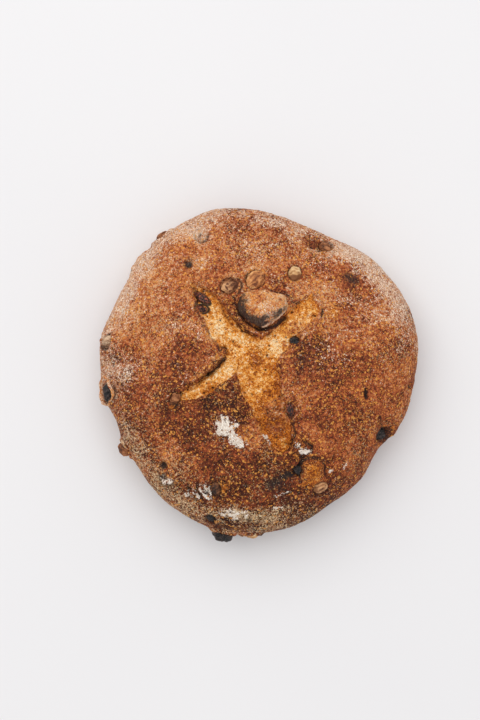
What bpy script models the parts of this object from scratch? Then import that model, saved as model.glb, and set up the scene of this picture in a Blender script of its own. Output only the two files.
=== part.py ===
"""A round country loaf with hazelnuts and raisins, slashed with a cross before it was baked.

The loaf is one solid: a hand-shaped dome on a flat foot, with its opened cuts, the curled corner
of crust and the swellings over buried nuts worked into the crust. Each hazelnut and each raisin
that shows is a piece of its own and sits in a socket of its own shape.

Sizes and places are in millimetres, seen from above with +X to the right and +Y away from the
viewer. They become metres where a mesh is made. The loaf stands on the XY plane at the origin.
"""

import math

import bmesh
import bpy
import numpy as np
from mathutils import Euler, Matrix, Vector

MILLIMETRE = 0.001
OBJECT_NAME = "country_bread"
# Brings the middle of the finished loaf's box over the origin
BOX_SHIFT = (-0.3, -0.9, 0.0)

# The loaf's form
CROWN_HEIGHT = 66.0
RIM_HEIGHT = 25.0
FOOT_SHARE = 0.86
DOME_POWER = 2.3
UNDER_TURN = math.radians(75.0)
MEAN_RADIUS = 102.0
RIM_RADII = (
    101.6, 106.4, 106.6, 104.7, 101.2, 101.6, 107.1, 111.0, 109.5, 107.5, 104.0, 104.0,
    101.2, 100.0, 98.0, 100.1, 102.2, 104.5, 102.5, 99.5, 95.2, 93.0, 90.8, 98.3,
)
GRID_CELLS = 56
CROWN_CROWDING = 1.42

# Each cut's middle line over the crown and its half-width there: x, y, half-width
LONG_CUT = (
    (-43.4, 58.7, 0.8), (-32.0, 45.9, 6.9), (-24.5, 32.5, 8.2), (-13.1, 20.1, 11.9),
    (-3.0, 9.5, 14.5), (2.0, -9.3, 11.9), (8.8, -24.4, 10.8), (13.9, -40.1, 7.5), (15.0, -46.8, 1.5),
)
RIGHT_CUT = ((3.0, 14.0, 9.0), (14.5, 23.9, 7.5), (23.3, 33.9, 7.5), (30.2, 41.5, 7.5), (33.0, 50.5, 2.0))
LEFT_CUT = ((-50.8, -13.8, 1.9), (-40.0, -9.8, 4.8), (-28.2, -2.5, 5.6), (-12.0, 10.5, 6.5))
CUTS = (LONG_CUT, RIGHT_CUT, LEFT_CUT)
CUT_DEPTH = 3.8
CRUMB_RISE = 2.3
CUT_WALL_SHARE = 0.3
LIP_HEIGHT = 1.1
LIP_REACH = 3.2

# Raised edges of crust beside the cuts: middle line, then height and half-width
EAR_LINE = ((-22.5, 15.5), (-26.5, 11.5), (-33.5, 4.5), (-43.0, -2.5))
EAR_SIZE = (3.0, 3.6)
CORNER_LIP_LINE = ((-21.0, 45.6), (-15.2, 36.8), (-9.2, 29.4), (-1.2, 26.4), (5.0, 27.6))
CORNER_LIP_SIZE = (2.9, 2.7)
FOLD_LINE = ((-84.0, 50.0), (-90.0, 36.0))
FOLD_SIZE = (-2.2, 2.6)

# Swellings over buried nuts and blisters: x, y, height, radius
SWELLINGS = (
    (-36.5, 91.2, 2.2, 5.5), (-75.8, 77.0, 2.6, 8.0), (-48.0, 95.0, 1.4, 6.0), (35.6, 40.0, 2.4, 4.6),
    (33.0, -57.5, 3.4, 8.5), (31.0, -68.0, 1.8, 5.0), (44.8, -29.9, 1.2, 4.5), (-85.7, -0.1, 2.4, 8.5),
    (12.0, -37.0, 1.8, 7.0), (-20.0, 63.0, 1.4, 12.0), (-34.0, -4.0, 1.2, 9.0), (58.0, -51.0, 1.4, 6.0),
    (-59.0, -64.5, 1.3, 4.5), (28.5, -47.3, 1.5, 3.4), (88.0, 30.0, 1.6, 14.0), (-50.0, 25.0, 1.0, 16.0),
    (-98.5, -10.5, 2.4, 9.0), (63.0, -12.7, 1.3, 4.5),
)
# Hollows and torn holes: x, y, depth, radius
HOLLOWS = (
    (35.5, 86.4, 4.0, 6.0), (42.5, 83.4, 3.4, 6.0), (-60.5, -56.5, 2.2, 5.0), (-37.2, -73.1, 1.6, 3.5),
    (97.8, -7.1, 2.8, 4.5), (68.3, -12.6, 1.2, 2.4), (49.0, -52.0, 1.2, 4.5), (14.0, -64.0, 1.3, 7.0),
    (79.9, -36.8, 3.2, 7.0), (24.6, -59.7, 1.8, 3.6), (-44.4, 70.3, 0.8, 4.0), (57.6, 62.4, 1.0, 10.0),
)

# The curled corner of crust: its outline in plan, every 30 degrees from +X about its middle
CORNER_MIDDLE = (2.6, 42.3, 66.4)
CORNER_RADII = (15.0, 15.2, 12.0, 11.6, 13.0, 16.7, 15.8, 12.9, 11.3, 11.7, 10.6, 11.4)
CORNER_THICKNESS = 7.4
CORNER_RISE = 0.24
CORNER_DROOP = 2.6
CORNER_RIDGE = 1.6

# Each piece: name, x, y, length, width, height, turn in degrees, depth of its middle in the crust
HAZELNUTS = (
    ("hazelnut_left", -18.8, 56.4, 12.0, 10.0, 9.6, 20.0, 1.9),
    ("hazelnut_middle", -2.6, 60.4, 13.0, 11.6, 11.0, 35.0, 1.6),
    ("hazelnut_right", 22.6, 65.0, 8.8, 10.6, 10.0, -12.0, 1.9),
    ("hazelnut_hollow", 43.8, 84.2, 8.4, 9.2, 8.0, 0.0, 0.6),
    ("hazelnut_slit", -53.2, -14.2, 6.2, 9.0, 7.0, -18.0, 1.8),
    ("hazelnut_low", -27.4, -71.4, 8.0, 9.6, 8.0, 10.0, 1.7),
    ("hazelnut_lower_right", 38.8, -71.2, 10.0, 9.4, 8.4, 25.0, 1.7),
    ("hazelnut_rim_lower_left", -86.2, -47.4, 10.0, 9.4, 10.0, 0.0, 0.2),
    ("hazelnut_rim_left", -96.2, 21.6, 9.0, 8.4, 9.0, 0.0, 1.6),
    ("hazelnut_rim_upper_left", -62.4, 89.7, 10.4, 7.0, 7.4, 35.0, 0.4),
    ("hazelnut_rim_bottom", -4.9, -103.2, 9.0, 7.4, 8.0, 0.0, 1.2),
)
RAISINS = (
    ("raisin_cut_upper", -35.4, 48.8, 12.4, 5.0, 5.2, -40.0, 0.7),
    ("raisin_cut_lower", -35.8, 42.2, 8.8, 5.6, 5.2, -10.0, 0.4),
    ("raisin_upper_left", -44.4, 70.3, 5.4, 6.0, 5.2, 20.0, 1.3),
    ("raisin_small", 22.4, 22.2, 5.4, 5.0, 4.6, 10.0, 1.0),
    ("raisin_right", 19.8, -21.2, 4.8, 10.6, 5.6, 6.0, 1.0),
    ("raisin_crack", 24.8, -59.7, 6.0, 6.6, 6.0, 15.0, 1.0),
    ("raisin_low", -30.7, -91.5, 6.6, 6.0, 5.4, 0.0, 1.4),
    ("raisin_rim_left", -96.0, -11.4, 8.0, 12.4, 8.0, 0.0, 1.8),
    ("raisin_rim_right", 80.0, -38.0, 9.4, 10.0, 9.0, 0.0, 0.8),
    ("raisin_rim_bottom", -23.4, -102.4, 12.0, 9.8, 8.4, 0.0, -1.2),
)
FINE_PIECES = ("hazelnut_left", "hazelnut_middle")
COLLAR_HEIGHT = 1.3
COLLAR_SHARE = 0.62
COLLAR_WIDTH = 1.9
SOCKET_GAP = 0.4
NUT_POINT = 0.16
RAISIN_FOLDS = 5
RAISIN_FOLD_DEPTH = 0.13

# Colour, roughness and metallic value of each finish
CRUST_FINISH = (0.30, 0.135, 0.065, 0.82, 0.0)
HAZELNUT_FINISH = (0.42, 0.22, 0.10, 0.6, 0.0)
RAISIN_FINISH = (0.035, 0.014, 0.011, 0.45, 0.0)


def clear_scene():
    """Remove the scene's objects."""
    for item in list(bpy.data.objects):
        bpy.data.objects.remove(item, do_unlink=True)


def closed_curve(radii, angle):
    """Radius at an angle, on a closed Catmull-Rom curve through evenly spaced radii."""
    knots = np.array(radii)
    place = np.mod(angle, 2 * np.pi) / (2 * np.pi) * len(knots)
    step = np.floor(place).astype(int)
    share = place - step
    before, start, end, after = (knots[(step + shift) % len(knots)] for shift in (-1, 0, 1, 2))
    slope = (end - before) * share
    bend = (2 * before - 5 * start + 4 * end - after) * share ** 2
    twist = (3 * start - before - 3 * end + after) * share ** 3
    return 0.5 * (2 * start + slope + bend + twist)


def dome_height(share):
    """Height of the crust over a share of the rim's radius."""
    fall = np.clip(1.0 - np.abs(share) ** DOME_POWER, 0.0, 1.0)
    return RIM_HEIGHT + (CROWN_HEIGHT - RIM_HEIGHT) * np.sqrt(fall)


def side_profile():
    """The section from the crown to the edge of the foot: running length, radius share, height."""
    dome_share = np.sin(np.linspace(0.0, np.pi / 2, 240))
    turn = np.linspace(0.0, UNDER_TURN, 60)[1:]
    under_share = 1 - (1 - FOOT_SHARE) * (1 - np.cos(turn)) / (1 - math.cos(UNDER_TURN))
    under_height = RIM_HEIGHT * (1 - np.sin(turn) / math.sin(UNDER_TURN))
    share = np.concatenate((dome_share, under_share))
    height = np.concatenate((dome_height(dome_share), under_height))
    steps = np.hypot(np.diff(share) * MEAN_RADIUS, np.diff(height))
    length = np.concatenate(([0.0], np.cumsum(steps)))
    return length / length[-1], share, height


def square_to_disc(across, along):
    """Turn a place in the square from -1 to 1 into a ring number from 0 to 1 and an angle."""
    ring = np.maximum(np.abs(across), np.abs(along))
    safe = np.where(ring > 0, ring, 1.0)
    wide = np.abs(across) >= np.abs(along)
    angle_wide = np.pi / 4 * along / safe * np.sign(across) + np.where(across < 0, np.pi, 0.0)
    angle_tall = np.pi / 2 - np.pi / 4 * across / safe * np.sign(along)
    angle_tall = angle_tall + np.where(along < 0, np.pi, 0.0)
    return ring, np.where(wide, angle_wide, angle_tall)


def line_distance(x, y, line):
    """Distance in plan to a line of points, and the half-width carried along it."""
    nearest = np.full(np.shape(x), 1e6)
    width = np.ones(np.shape(x))
    score = np.full(np.shape(x), 1e6)
    for start, end in zip(line[:-1], line[1:]):
        run = (end[0] - start[0], end[1] - start[1])
        along = ((x - start[0]) * run[0] + (y - start[1]) * run[1]) / (run[0] ** 2 + run[1] ** 2)
        along = np.clip(along, 0.0, 1.0)
        distance = np.hypot(x - start[0] - along * run[0], y - start[1] - along * run[1])
        half = start[2] + (end[2] - start[2]) * along if len(start) > 2 else np.ones(np.shape(x))
        closer = distance - half < score
        score = np.where(closer, distance - half, score)
        nearest = np.where(closer, distance, nearest)
        width = np.where(closer, half, width)
    return nearest, width


def smooth_step(value, low, high):
    """Rise from 0 to 1 as a value goes from low to high, level at both ends."""
    share = np.clip((value - low) / (high - low), 0.0, 1.0)
    return share * share * (3 - 2 * share)


def cut_relief(x, y):
    """Opened cuts: the crust drops at their edges, and the crumb swells up in their middle."""
    beyond = np.full(np.shape(x), 1e6)
    share = np.full(np.shape(x), 1e6)
    for cut in CUTS:
        distance, half = line_distance(x, y, cut)
        closer = distance - half < beyond
        beyond = np.where(closer, distance - half, beyond)
        share = np.where(closer, distance / half, share)
    wall = smooth_step(1.0 - share, 0.0, CUT_WALL_SHARE)
    swell = np.clip(1.0 - share ** 2, 0.0, 1.0)
    lip = np.exp(-((beyond - LIP_REACH / 2) / (LIP_REACH / 2)) ** 2) * (beyond > -LIP_REACH)
    return CRUMB_RISE * swell - CUT_DEPTH * wall + LIP_HEIGHT * lip


def ridge(x, y, line, size):
    """A rounded ridge, or a furrow where its height is negative, along a line."""
    distance, _ = line_distance(x, y, line)
    return size[0] * np.exp(-((distance / size[1]) ** 2))


def plan_height(x, y):
    """Height of the plain dome over a place in plan."""
    share = np.hypot(x, y) / closed_curve(RIM_RADII, np.arctan2(y, x))
    return dome_height(np.minimum(share, 1.0))


def mound(x, y, z, place, height, radius):
    """A round swelling about a place on the plain dome, measured through space."""
    top = plan_height(place[0], place[1])
    away = ((x - place[0]) ** 2 + (y - place[1]) ** 2 + (z - top) ** 2) / radius ** 2
    return height * np.exp(-away)


def collar(x, y, z, piece):
    """The ring of crust that stands up round a nut or a raisin."""
    _, place_x, place_y, length, width, _, _, _ = piece
    top = plan_height(place_x, place_y)
    away = np.sqrt((x - place_x) ** 2 + (y - place_y) ** 2 + (z - top) ** 2)
    ring = COLLAR_SHARE * (length + width) / 2
    return COLLAR_HEIGHT * np.exp(-(((away - ring) / COLLAR_WIDTH) ** 2))


def waves(x, y, z):
    """The loaf's slow unevenness, which dies out towards the foot."""
    wide = 0.55 * np.sin(x / 17.0 + 0.6) * np.cos(y / 21.0 - 0.4)
    middle = 0.38 * np.sin(x / 9.5 - y / 12.0 + 1.3) + 0.3 * np.sin(y / 7.8 + x / 15.0)
    fine = 0.18 * np.sin(x / 4.4 + z / 5.0) * np.sin(y / 4.9 - z / 6.0)
    return (wide + middle + fine) * smooth_step(z, 2.0, 22.0)


def relief(x, y, z):
    """How far the crust stands over the plain dome, along its normal."""
    height = waves(x, y, z) + cut_relief(x, y)
    height = height + ridge(x, y, EAR_LINE, EAR_SIZE)
    height = height + ridge(x, y, CORNER_LIP_LINE, CORNER_LIP_SIZE)
    height = height + ridge(x, y, FOLD_LINE, FOLD_SIZE)
    for place_x, place_y, swell, radius in SWELLINGS:
        height = height + mound(x, y, z, (place_x, place_y), swell, radius)
    for place_x, place_y, depth, radius in HOLLOWS:
        height = height - mound(x, y, z, (place_x, place_y), depth, radius)
    for piece in HAZELNUTS + RAISINS:
        height = height + collar(x, y, z, piece)
    return height * smooth_step(z, 0.5, 8.0)


def new_collection(name):
    """Make a collection in the scene."""
    group = bpy.data.collections.new(name)
    bpy.context.scene.collection.children.link(group)
    return group


def move_to(item, group):
    """Put an object in one collection only."""
    for old in list(item.users_collection):
        old.objects.unlink(item)
    group.objects.link(item)


def make_material(name, finish):
    """A plain Principled material of one colour, roughness and metallic value."""
    material = bpy.data.materials.new(name)
    material.use_nodes = True
    shader = material.node_tree.nodes["Principled BSDF"]
    shader.inputs["Base Color"].default_value = (*finish[:3], 1.0)
    shader.inputs["Roughness"].default_value = finish[3]
    shader.inputs["Metallic"].default_value = finish[4]
    material.diffuse_color = (*finish[:3], 1.0)
    return material


def read_points(mesh, kind):
    """A mesh's vertex places or normals as rows of three numbers."""
    values = np.empty(len(mesh.vertices) * 3)
    mesh.vertices.foreach_get(kind, values)
    return values.reshape(-1, 3)


def write_points(mesh, points):
    """Set a mesh's vertex places."""
    mesh.vertices.foreach_set("co", points.ravel())
    mesh.update()


def make_loaf(group, material):
    """Shape the loaf from a square grid that is wrapped over the dome and down to the foot."""
    bpy.ops.mesh.primitive_grid_add(x_subdivisions=GRID_CELLS, y_subdivisions=GRID_CELLS, size=2.0)
    loaf = bpy.context.object
    loaf.name = "loaf"
    move_to(loaf, group)
    flat = read_points(loaf.data, "co")
    ring, angle = square_to_disc(flat[:, 0], flat[:, 1])
    length, share, height = side_profile()
    run = ring ** CROWN_CROWDING
    radius = np.interp(run, length, share) * closed_curve(RIM_RADII, angle)
    z = np.interp(run, length, height)
    plain = np.column_stack((radius * np.cos(angle), radius * np.sin(angle), z))
    write_points(loaf.data, plain)
    normal = read_points(loaf.data, "normal")
    step = relief(plain[:, 0], plain[:, 1], plain[:, 2])
    write_points(loaf.data, (plain + normal * step[:, None]) * MILLIMETRE)
    shell = bmesh.new()
    shell.from_mesh(loaf.data)
    edge = [item for item in shell.edges if item.is_boundary]
    for corner in {corner for item in edge for corner in item.verts}:
        corner.co.z = 0.0
    foot = bmesh.ops.contextual_create(shell, geom=edge)["faces"]
    bmesh.ops.poke(shell, faces=foot)
    bmesh.ops.recalc_face_normals(shell, faces=shell.faces)
    shell.to_mesh(loaf.data)
    shell.free()
    loaf.data.shade_smooth()
    loaf.data.set_sharp_from_angle(angle=math.radians(50.0))
    loaf.data.materials.append(material)
    loaf.location = Vector(BOX_SHIFT) * MILLIMETRE
    return loaf


def make_corner(group, loaf):
    """The curled corner of crust: a round slab with a drooping edge and a ridge to its tip."""
    bpy.ops.mesh.primitive_uv_sphere_add(segments=24, ring_count=12, radius=1.0)
    corner = bpy.context.object
    corner.name = "curled_corner_guide"
    move_to(corner, group)
    unit = read_points(corner.data, "co")
    flat = np.hypot(unit[:, 0], unit[:, 1])
    angle = np.arctan2(unit[:, 1], unit[:, 0])
    reach = closed_curve(CORNER_RADII, angle) * flat ** 0.75
    x = reach * np.cos(angle)
    y = reach * np.sin(angle)
    middle = -CORNER_RISE * y - CORNER_DROOP * (x / 15.0) ** 2
    ridge_line = CORNER_RIDGE * np.exp(-(((x + 1.0) / 4.5) ** 2)) * smooth_step(-y, -2.0, 9.0)
    z = middle + CORNER_THICKNESS / 2 * unit[:, 2] + ridge_line * (unit[:, 2] > 0)
    place = np.array(CORNER_MIDDLE)
    write_points(corner.data, (np.column_stack((x, y, z)) + place) * MILLIMETRE)
    corner.location = Vector(BOX_SHIFT) * MILLIMETRE
    corner.hide_render = True
    corner.display_type = "WIRE"
    join = loaf.modifiers.new("join_corner", "BOOLEAN")
    join.operation = "UNION"
    join.object = corner
    join.solver = "EXACT"
    return corner


def surface_place(x, y):
    """The crust's place and outward direction over a place in plan."""
    reach = 0.25
    share_limit = 0.9985 * closed_curve(RIM_RADII, math.atan2(y, x)) / math.hypot(x, y)
    if share_limit < 1.0:
        x, y = x * share_limit, y * share_limit
    z = float(plan_height(x, y))
    inward = (x * (1 - reach / math.hypot(x, y)), y * (1 - reach / math.hypot(x, y)))
    inner_z = float(plan_height(*inward))
    outward = Vector((x - inward[0], y - inward[1], 0.0)).normalized()
    slope = (inner_z - z) / reach
    normal = (outward * slope + Vector((0.0, 0.0, 1.0))).normalized()
    lift = float(relief(np.array([x]), np.array([y]), np.array([z]))[0])
    return Vector((x, y, z)) + normal * lift, normal


def nut_form(unit):
    """A hazelnut: a round kernel with a blunt point at one end and a flatter other end."""
    point = NUT_POINT * np.clip(unit[:, 0], 0.0, 1.0) ** 4
    flat_end = 1.0 - 0.1 * smooth_step(-unit[:, 0], 0.5, 1.0)
    formed = unit * np.column_stack((1.0 + point, flat_end, flat_end))
    return formed


def raisin_form(unit):
    """A raisin: a rounded blob with folds that run from end to end."""
    turn = np.arctan2(unit[:, 2], unit[:, 1])
    fold = 1.0 - RAISIN_FOLD_DEPTH * np.cos(RAISIN_FOLDS * turn + 2.0 * unit[:, 0]) ** 2
    return unit * np.column_stack((np.ones(len(unit)), fold, fold))


def make_piece(piece, form, group, sockets, material):
    """One nut or raisin in the crust, and the slightly larger copy that cuts its socket."""
    name, x, y, length, width, height, turn, depth = piece
    subdivisions = 3 if name in FINE_PIECES else 2
    bpy.ops.mesh.primitive_ico_sphere_add(subdivisions=subdivisions, radius=1.0)
    item = bpy.context.object
    item.name = name
    move_to(item, group)
    half = np.array((length, width, height)) / 2
    formed = form(read_points(item.data, "co")) * half
    write_points(item.data, formed * MILLIMETRE)
    item.data.shade_smooth()
    item.data.materials.append(material)
    place, normal = surface_place(x, y)
    lean = Vector((0.0, 0.0, 1.0)).rotation_difference(normal).to_matrix()
    spin = Euler((0.0, 0.0, math.radians(turn))).to_matrix()
    centre = (place - normal * depth + Vector(BOX_SHIFT)) * MILLIMETRE
    item.matrix_world = Matrix.Translation(centre) @ (lean @ spin).to_4x4()
    cutter = bpy.data.objects.new(name + "_socket", item.data.copy())
    cutter.matrix_world = item.matrix_world
    sockets.objects.link(cutter)
    normals = read_points(cutter.data, "normal")
    write_points(cutter.data, (formed + normals * SOCKET_GAP) * MILLIMETRE)
    cutter.hide_render = True
    cutter.display_type = "WIRE"
    return item


def build():
    """Build the loaf, its curled corner, and every nut and raisin that shows."""
    clear_scene()
    bread = new_collection(OBJECT_NAME)
    guides = new_collection("guides")
    sockets = new_collection("socket_cutters")
    crust = make_material("crust", CRUST_FINISH)
    hazelnut = make_material("hazelnut", HAZELNUT_FINISH)
    raisin = make_material("raisin", RAISIN_FINISH)
    loaf = make_loaf(bread, crust)
    make_corner(guides, loaf)
    for piece in HAZELNUTS:
        make_piece(piece, nut_form, bread, sockets, hazelnut)
    for piece in RAISINS:
        make_piece(piece, raisin_form, bread, sockets, raisin)
    hollow = loaf.modifiers.new("cut_sockets", "BOOLEAN")
    hollow.operation = "DIFFERENCE"
    hollow.operand_type = "COLLECTION"
    hollow.collection = sockets
    hollow.solver = "EXACT"


build()
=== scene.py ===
"""The looks of a round country loaf with hazelnuts and raisins, slashed with a cross.

The crust is one closed surface: a square grid wrapped over a dome and down to the flat foot,
pushed out and in along its own direction by the relief. The torn crumb in the cuts is a thick
sheet tucked under it. The curled corner of crust, the torn rim of a blister, every hazelnut and
raisin, the loose flour and the bran flakes are pieces of their own. Lengths are in millimetres
until a mesh is made, and the frame's solids give the box and the places of the nuts and raisins.
"""

import logging
import math
from dataclasses import dataclass, field
from enum import Enum
from typing import Any

import bpy
import numpy as np
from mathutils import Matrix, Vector


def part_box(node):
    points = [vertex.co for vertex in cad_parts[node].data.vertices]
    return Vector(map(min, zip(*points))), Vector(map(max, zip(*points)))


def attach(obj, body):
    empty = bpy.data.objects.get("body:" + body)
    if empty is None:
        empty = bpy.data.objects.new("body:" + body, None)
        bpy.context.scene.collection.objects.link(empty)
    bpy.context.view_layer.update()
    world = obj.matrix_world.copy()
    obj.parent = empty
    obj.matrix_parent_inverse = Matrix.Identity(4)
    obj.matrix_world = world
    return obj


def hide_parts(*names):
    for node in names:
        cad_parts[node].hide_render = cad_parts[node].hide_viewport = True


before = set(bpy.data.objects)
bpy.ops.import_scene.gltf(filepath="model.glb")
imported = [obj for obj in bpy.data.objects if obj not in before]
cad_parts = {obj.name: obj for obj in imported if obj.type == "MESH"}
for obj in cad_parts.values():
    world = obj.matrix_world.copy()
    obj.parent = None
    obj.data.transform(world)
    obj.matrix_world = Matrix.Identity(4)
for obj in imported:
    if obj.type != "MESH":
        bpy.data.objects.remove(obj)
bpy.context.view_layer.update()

Array = np.ndarray
Colour = tuple[float, float, float, float]
Line = tuple[tuple[float, ...], ...]

LOG = logging.getLogger("country_bread")
MILLIMETRE = 0.001
FAR = 1e6
CELL_FACTORS = (374761393, 668265263, 2147483647)
SEED_FACTOR = 144269504
MIX_FACTOR = 1274126177
LOW_BITS = 0xFFFFFFFF
BODY = "root"
BOX_SHIFT = np.array([-0.3, -0.9, 0.0])


def tint(red: int, green: int, blue: int) -> Colour:
    """Turn a screen colour of 0 to 255 into the linear colour that a shader takes.

    Args:
        red: the red value.
        green: the green value.
        blue: the blue value.

    Returns:
        Linear red, green, blue and a full alpha.
    """
    parts = [value / 255.0 for value in (red, green, blue)]
    linear = [part / 12.92 if part <= 0.04045 else ((part + 0.055) / 1.055) ** 2.4 for part in parts]
    return (linear[0], linear[1], linear[2], 1.0)


def smooth_step(value: Array, low: float, high: float) -> Array:
    """Rise from 0 to 1 between two values, level at both ends: s*s*(3 - 2s) of the share s.

    Args:
        value: the numbers to turn.
        low: where the rise starts.
        high: where it ends.

    Returns:
        Numbers from 0 to 1.
    """
    share = np.clip((value - low) / (high - low), 0.0, 1.0)
    return share * share * (3.0 - 2.0 * share)


def bell(distance: Array, width: float) -> Array:
    """A bell of height 1: e to the minus square of distance over width."""
    return np.exp(-((distance / width) ** 2))


def closed_curve(radii: tuple[float, ...], angle: Array) -> Array:
    """Read a closed Catmull-Rom curve through radii that are spaced evenly round a turn.

    Args:
        radii: the curve's radii, the first at +X.
        angle: angles in radians.

    Returns:
        The radius at each angle.
    """
    knots = np.array(radii)
    place = np.mod(angle, 2.0 * np.pi) / (2.0 * np.pi) * len(knots)
    step = np.floor(place).astype(int)
    share = place - step
    before, start, end, after = (knots[(step + shift) % len(knots)] for shift in (-1, 0, 1, 2))
    slope = (end - before) * share
    bend = (2 * before - 5 * start + 4 * end - after) * share ** 2
    twist = (3 * start - before - 3 * end + after) * share ** 3
    return 0.5 * (2 * start + slope + bend + twist)


def cell_value(cell: Array, seed: int) -> Array:
    """Give every whole-number cell its own number from 0 to 1, by multiplying and mixing bits.

    Args:
        cell: rows of three whole numbers.
        seed: which set of numbers.

    Returns:
        One number a row.
    """
    mixed = (cell @ np.array(CELL_FACTORS) + seed * SEED_FACTOR) & LOW_BITS
    mixed = ((mixed ^ (mixed >> 13)) * MIX_FACTOR) & LOW_BITS
    return (mixed ^ (mixed >> 16)) / LOW_BITS


def noise(points: Array, size: float, seed: int, layers: int = 1) -> Array:
    """Smooth noise: cell values a size apart, blended by smoothstep, each layer half as large.

    Args:
        points: rows of x, y, z.
        size: the distance between the first layer's values.
        seed: which noise.
        layers: how many layers are added up.

    Returns:
        One number a row, mostly from -1 to 1.
    """
    total = np.zeros(len(points))
    strength = 1.0
    for layer in range(layers):
        scaled = points / size + 17.3 * layer
        base = np.floor(scaled).astype(np.int64)
        share = scaled - base
        share = share * share * (3.0 - 2.0 * share)
        for corner in range(8):
            offset = np.array([(corner >> axis) & 1 for axis in range(3)])
            weight = np.prod(np.where(offset == 1, share, 1.0 - share), axis=1)
            total += strength * weight * (2.0 * cell_value(base + offset, seed + layer) - 1.0)
        size *= 0.5
        strength *= 0.5
    return total


def lumps(points: Array, size: float, seed: int) -> Array:
    """Rounded lumps in plan: one less the squared distance to the nearest of scattered middles.

    Every square cell has one middle, at a place drawn from its own numbers.

    Args:
        points: rows of x, y, z.
        size: the cells' side.
        seed: which pattern.

    Returns:
        One number a row, from 0 between the lumps to 1 on top of them.
    """
    place = points * np.array([1.0, 1.0, 0.0]) / size
    base = np.floor(place).astype(np.int64)
    nearest = np.ones(len(points))
    for shift in range(9):
        cell = base + np.array([shift % 3 - 1, shift // 3 - 1, 0])
        across = place[:, 0] - cell[:, 0] - cell_value(cell, seed)
        along = place[:, 1] - cell[:, 1] - cell_value(cell, seed + 1)
        nearest = np.minimum(nearest, across ** 2 + along ** 2)
    return 1.0 - nearest


def line_distance(x: Array, y: Array, line: Line) -> tuple[Array, Array]:
    """Measure in plan how far points lie from a line of straight runs.

    The run with the smallest distance less half-width wins, so a wide part of a cut hides a
    narrow one. A line without a third number has a half-width of 1.

    Args:
        x: places along X.
        y: places along Y.
        line: points of x, y and, for a cut, half-width.

    Returns:
        The distance to the line and the half-width there.
    """
    nearest = np.full(np.shape(x), FAR)
    width = np.ones(np.shape(x))
    score = np.full(np.shape(x), FAR)
    for start, end in zip(line[:-1], line[1:]):
        run = (end[0] - start[0], end[1] - start[1])
        along = ((x - start[0]) * run[0] + (y - start[1]) * run[1]) / (run[0] ** 2 + run[1] ** 2)
        along = np.clip(along, 0.0, 1.0)
        distance = np.hypot(x - start[0] - along * run[0], y - start[1] - along * run[1])
        half = start[2] + (end[2] - start[2]) * along if len(start) > 2 else np.ones(np.shape(x))
        closer = distance - half < score
        score = np.where(closer, distance - half, score)
        nearest = np.where(closer, distance, nearest)
        width = np.where(closer, half, width)
    return nearest, width


def from_line(x: Array, y: Array, line: Line) -> Array:
    """Distance in plan from a line of straight runs."""
    return line_distance(x, y, line)[0]


def add_up(items: tuple[Any, ...], start: Any, *places: Array) -> Array:
    """Add what each item reads at the places to a start, one after another."""
    return sum((item.read(*places) for item in items), start)


def oval_distance(
    x: Array, y: Array, middle: tuple[float, float], half: tuple[float, float], turn: float
) -> Array:
    """Measure places from an oval's middle in plan, so that its outline lies at 1.

    Args:
        x: places along X.
        y: places along Y.
        middle: the oval's middle.
        half: half its length and half its width.
        turn: the turn of its long axis from +X, in degrees.

    Returns:
        The distance as a share of the way to the outline.
    """
    angle = math.radians(turn)
    along = (x - middle[0]) * math.cos(angle) + (y - middle[1]) * math.sin(angle)
    across = (y - middle[1]) * math.cos(angle) - (x - middle[0]) * math.sin(angle)
    return np.hypot(along / half[0], across / half[1])


@dataclass(frozen=True)
class Mound:
    """A round swelling, or a hollow where its height is negative, about a place in plan."""

    x: float
    y: float
    height: float
    radius: float

    def read(self, points: Array) -> Array:
        """The height to add: the mound's own times a bell of the distance through space."""
        away = np.linalg.norm(points - FORM.top_point(self.x, self.y), axis=1)
        return self.height * bell(away, self.radius)


@dataclass(frozen=True)
class Ripple:
    """One noise: its strength, its size, its seed and its layers."""

    strength: float
    size: float
    seed: int
    layers: int = 1

    def read(self, points: Array) -> Array:
        """The noise at the points, times its strength."""
        return self.strength * noise(points, self.size, self.seed, self.layers)


@dataclass(frozen=True)
class Patch:
    """An oval patch of colour in plan that fades out like a bell.

    Its long axis is turned from +X, in degrees.
    """

    x: float
    y: float
    amount: float
    long: float
    short: float
    turn: float = 0.0

    def read(self, x: Array, y: Array) -> Array:
        """The patch's strength: its amount times a bell of the oval's distance."""
        away = oval_distance(x, y, (self.x, self.y), (self.long, self.short), self.turn)
        return self.amount * bell(away, 1.0)


@dataclass(frozen=True)
class Crack:
    """A thin crack along a line: how deep, how wide, and how dark its painted shade is."""

    line: Line
    depth: float
    half_width: float
    dark: float

    def read(self, x: Array, y: Array, rag: Array) -> tuple[Array, Array]:
        """The depth and the painted shade in the crack, as bells of the distance with the rag added."""
        away = from_line(x, y, self.line) + rag
        return self.depth * bell(away, self.half_width), self.dark * bell(away, self.half_width * 0.9)


class Look(Enum):
    """How a nut or a raisin looks."""

    PALE = "pale"
    TOASTED = "toasted"
    ROASTED = "roasted"
    BROWN = "brown"
    BURNT = "burnt"
    FLOURED = "floured"
    BLACK = "black"
    SMOKY = "smoky"
    RED = "red"


@dataclass(frozen=True)
class Topping:
    """One nut or raisin: its node, place in plan, three sizes, turn, depth and look.

    A nut can be darker on one side, partly burnt and partly painted shade on the side away from the light:
    how much, and towards which angle in degrees.
    """

    node: str
    x: float
    y: float
    length: float
    width: float
    height: float
    turn: float
    depth: float
    look: Look
    burn_and_shade: float = 0.0
    burnt_and_shaded_side: float = 0.0


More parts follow.
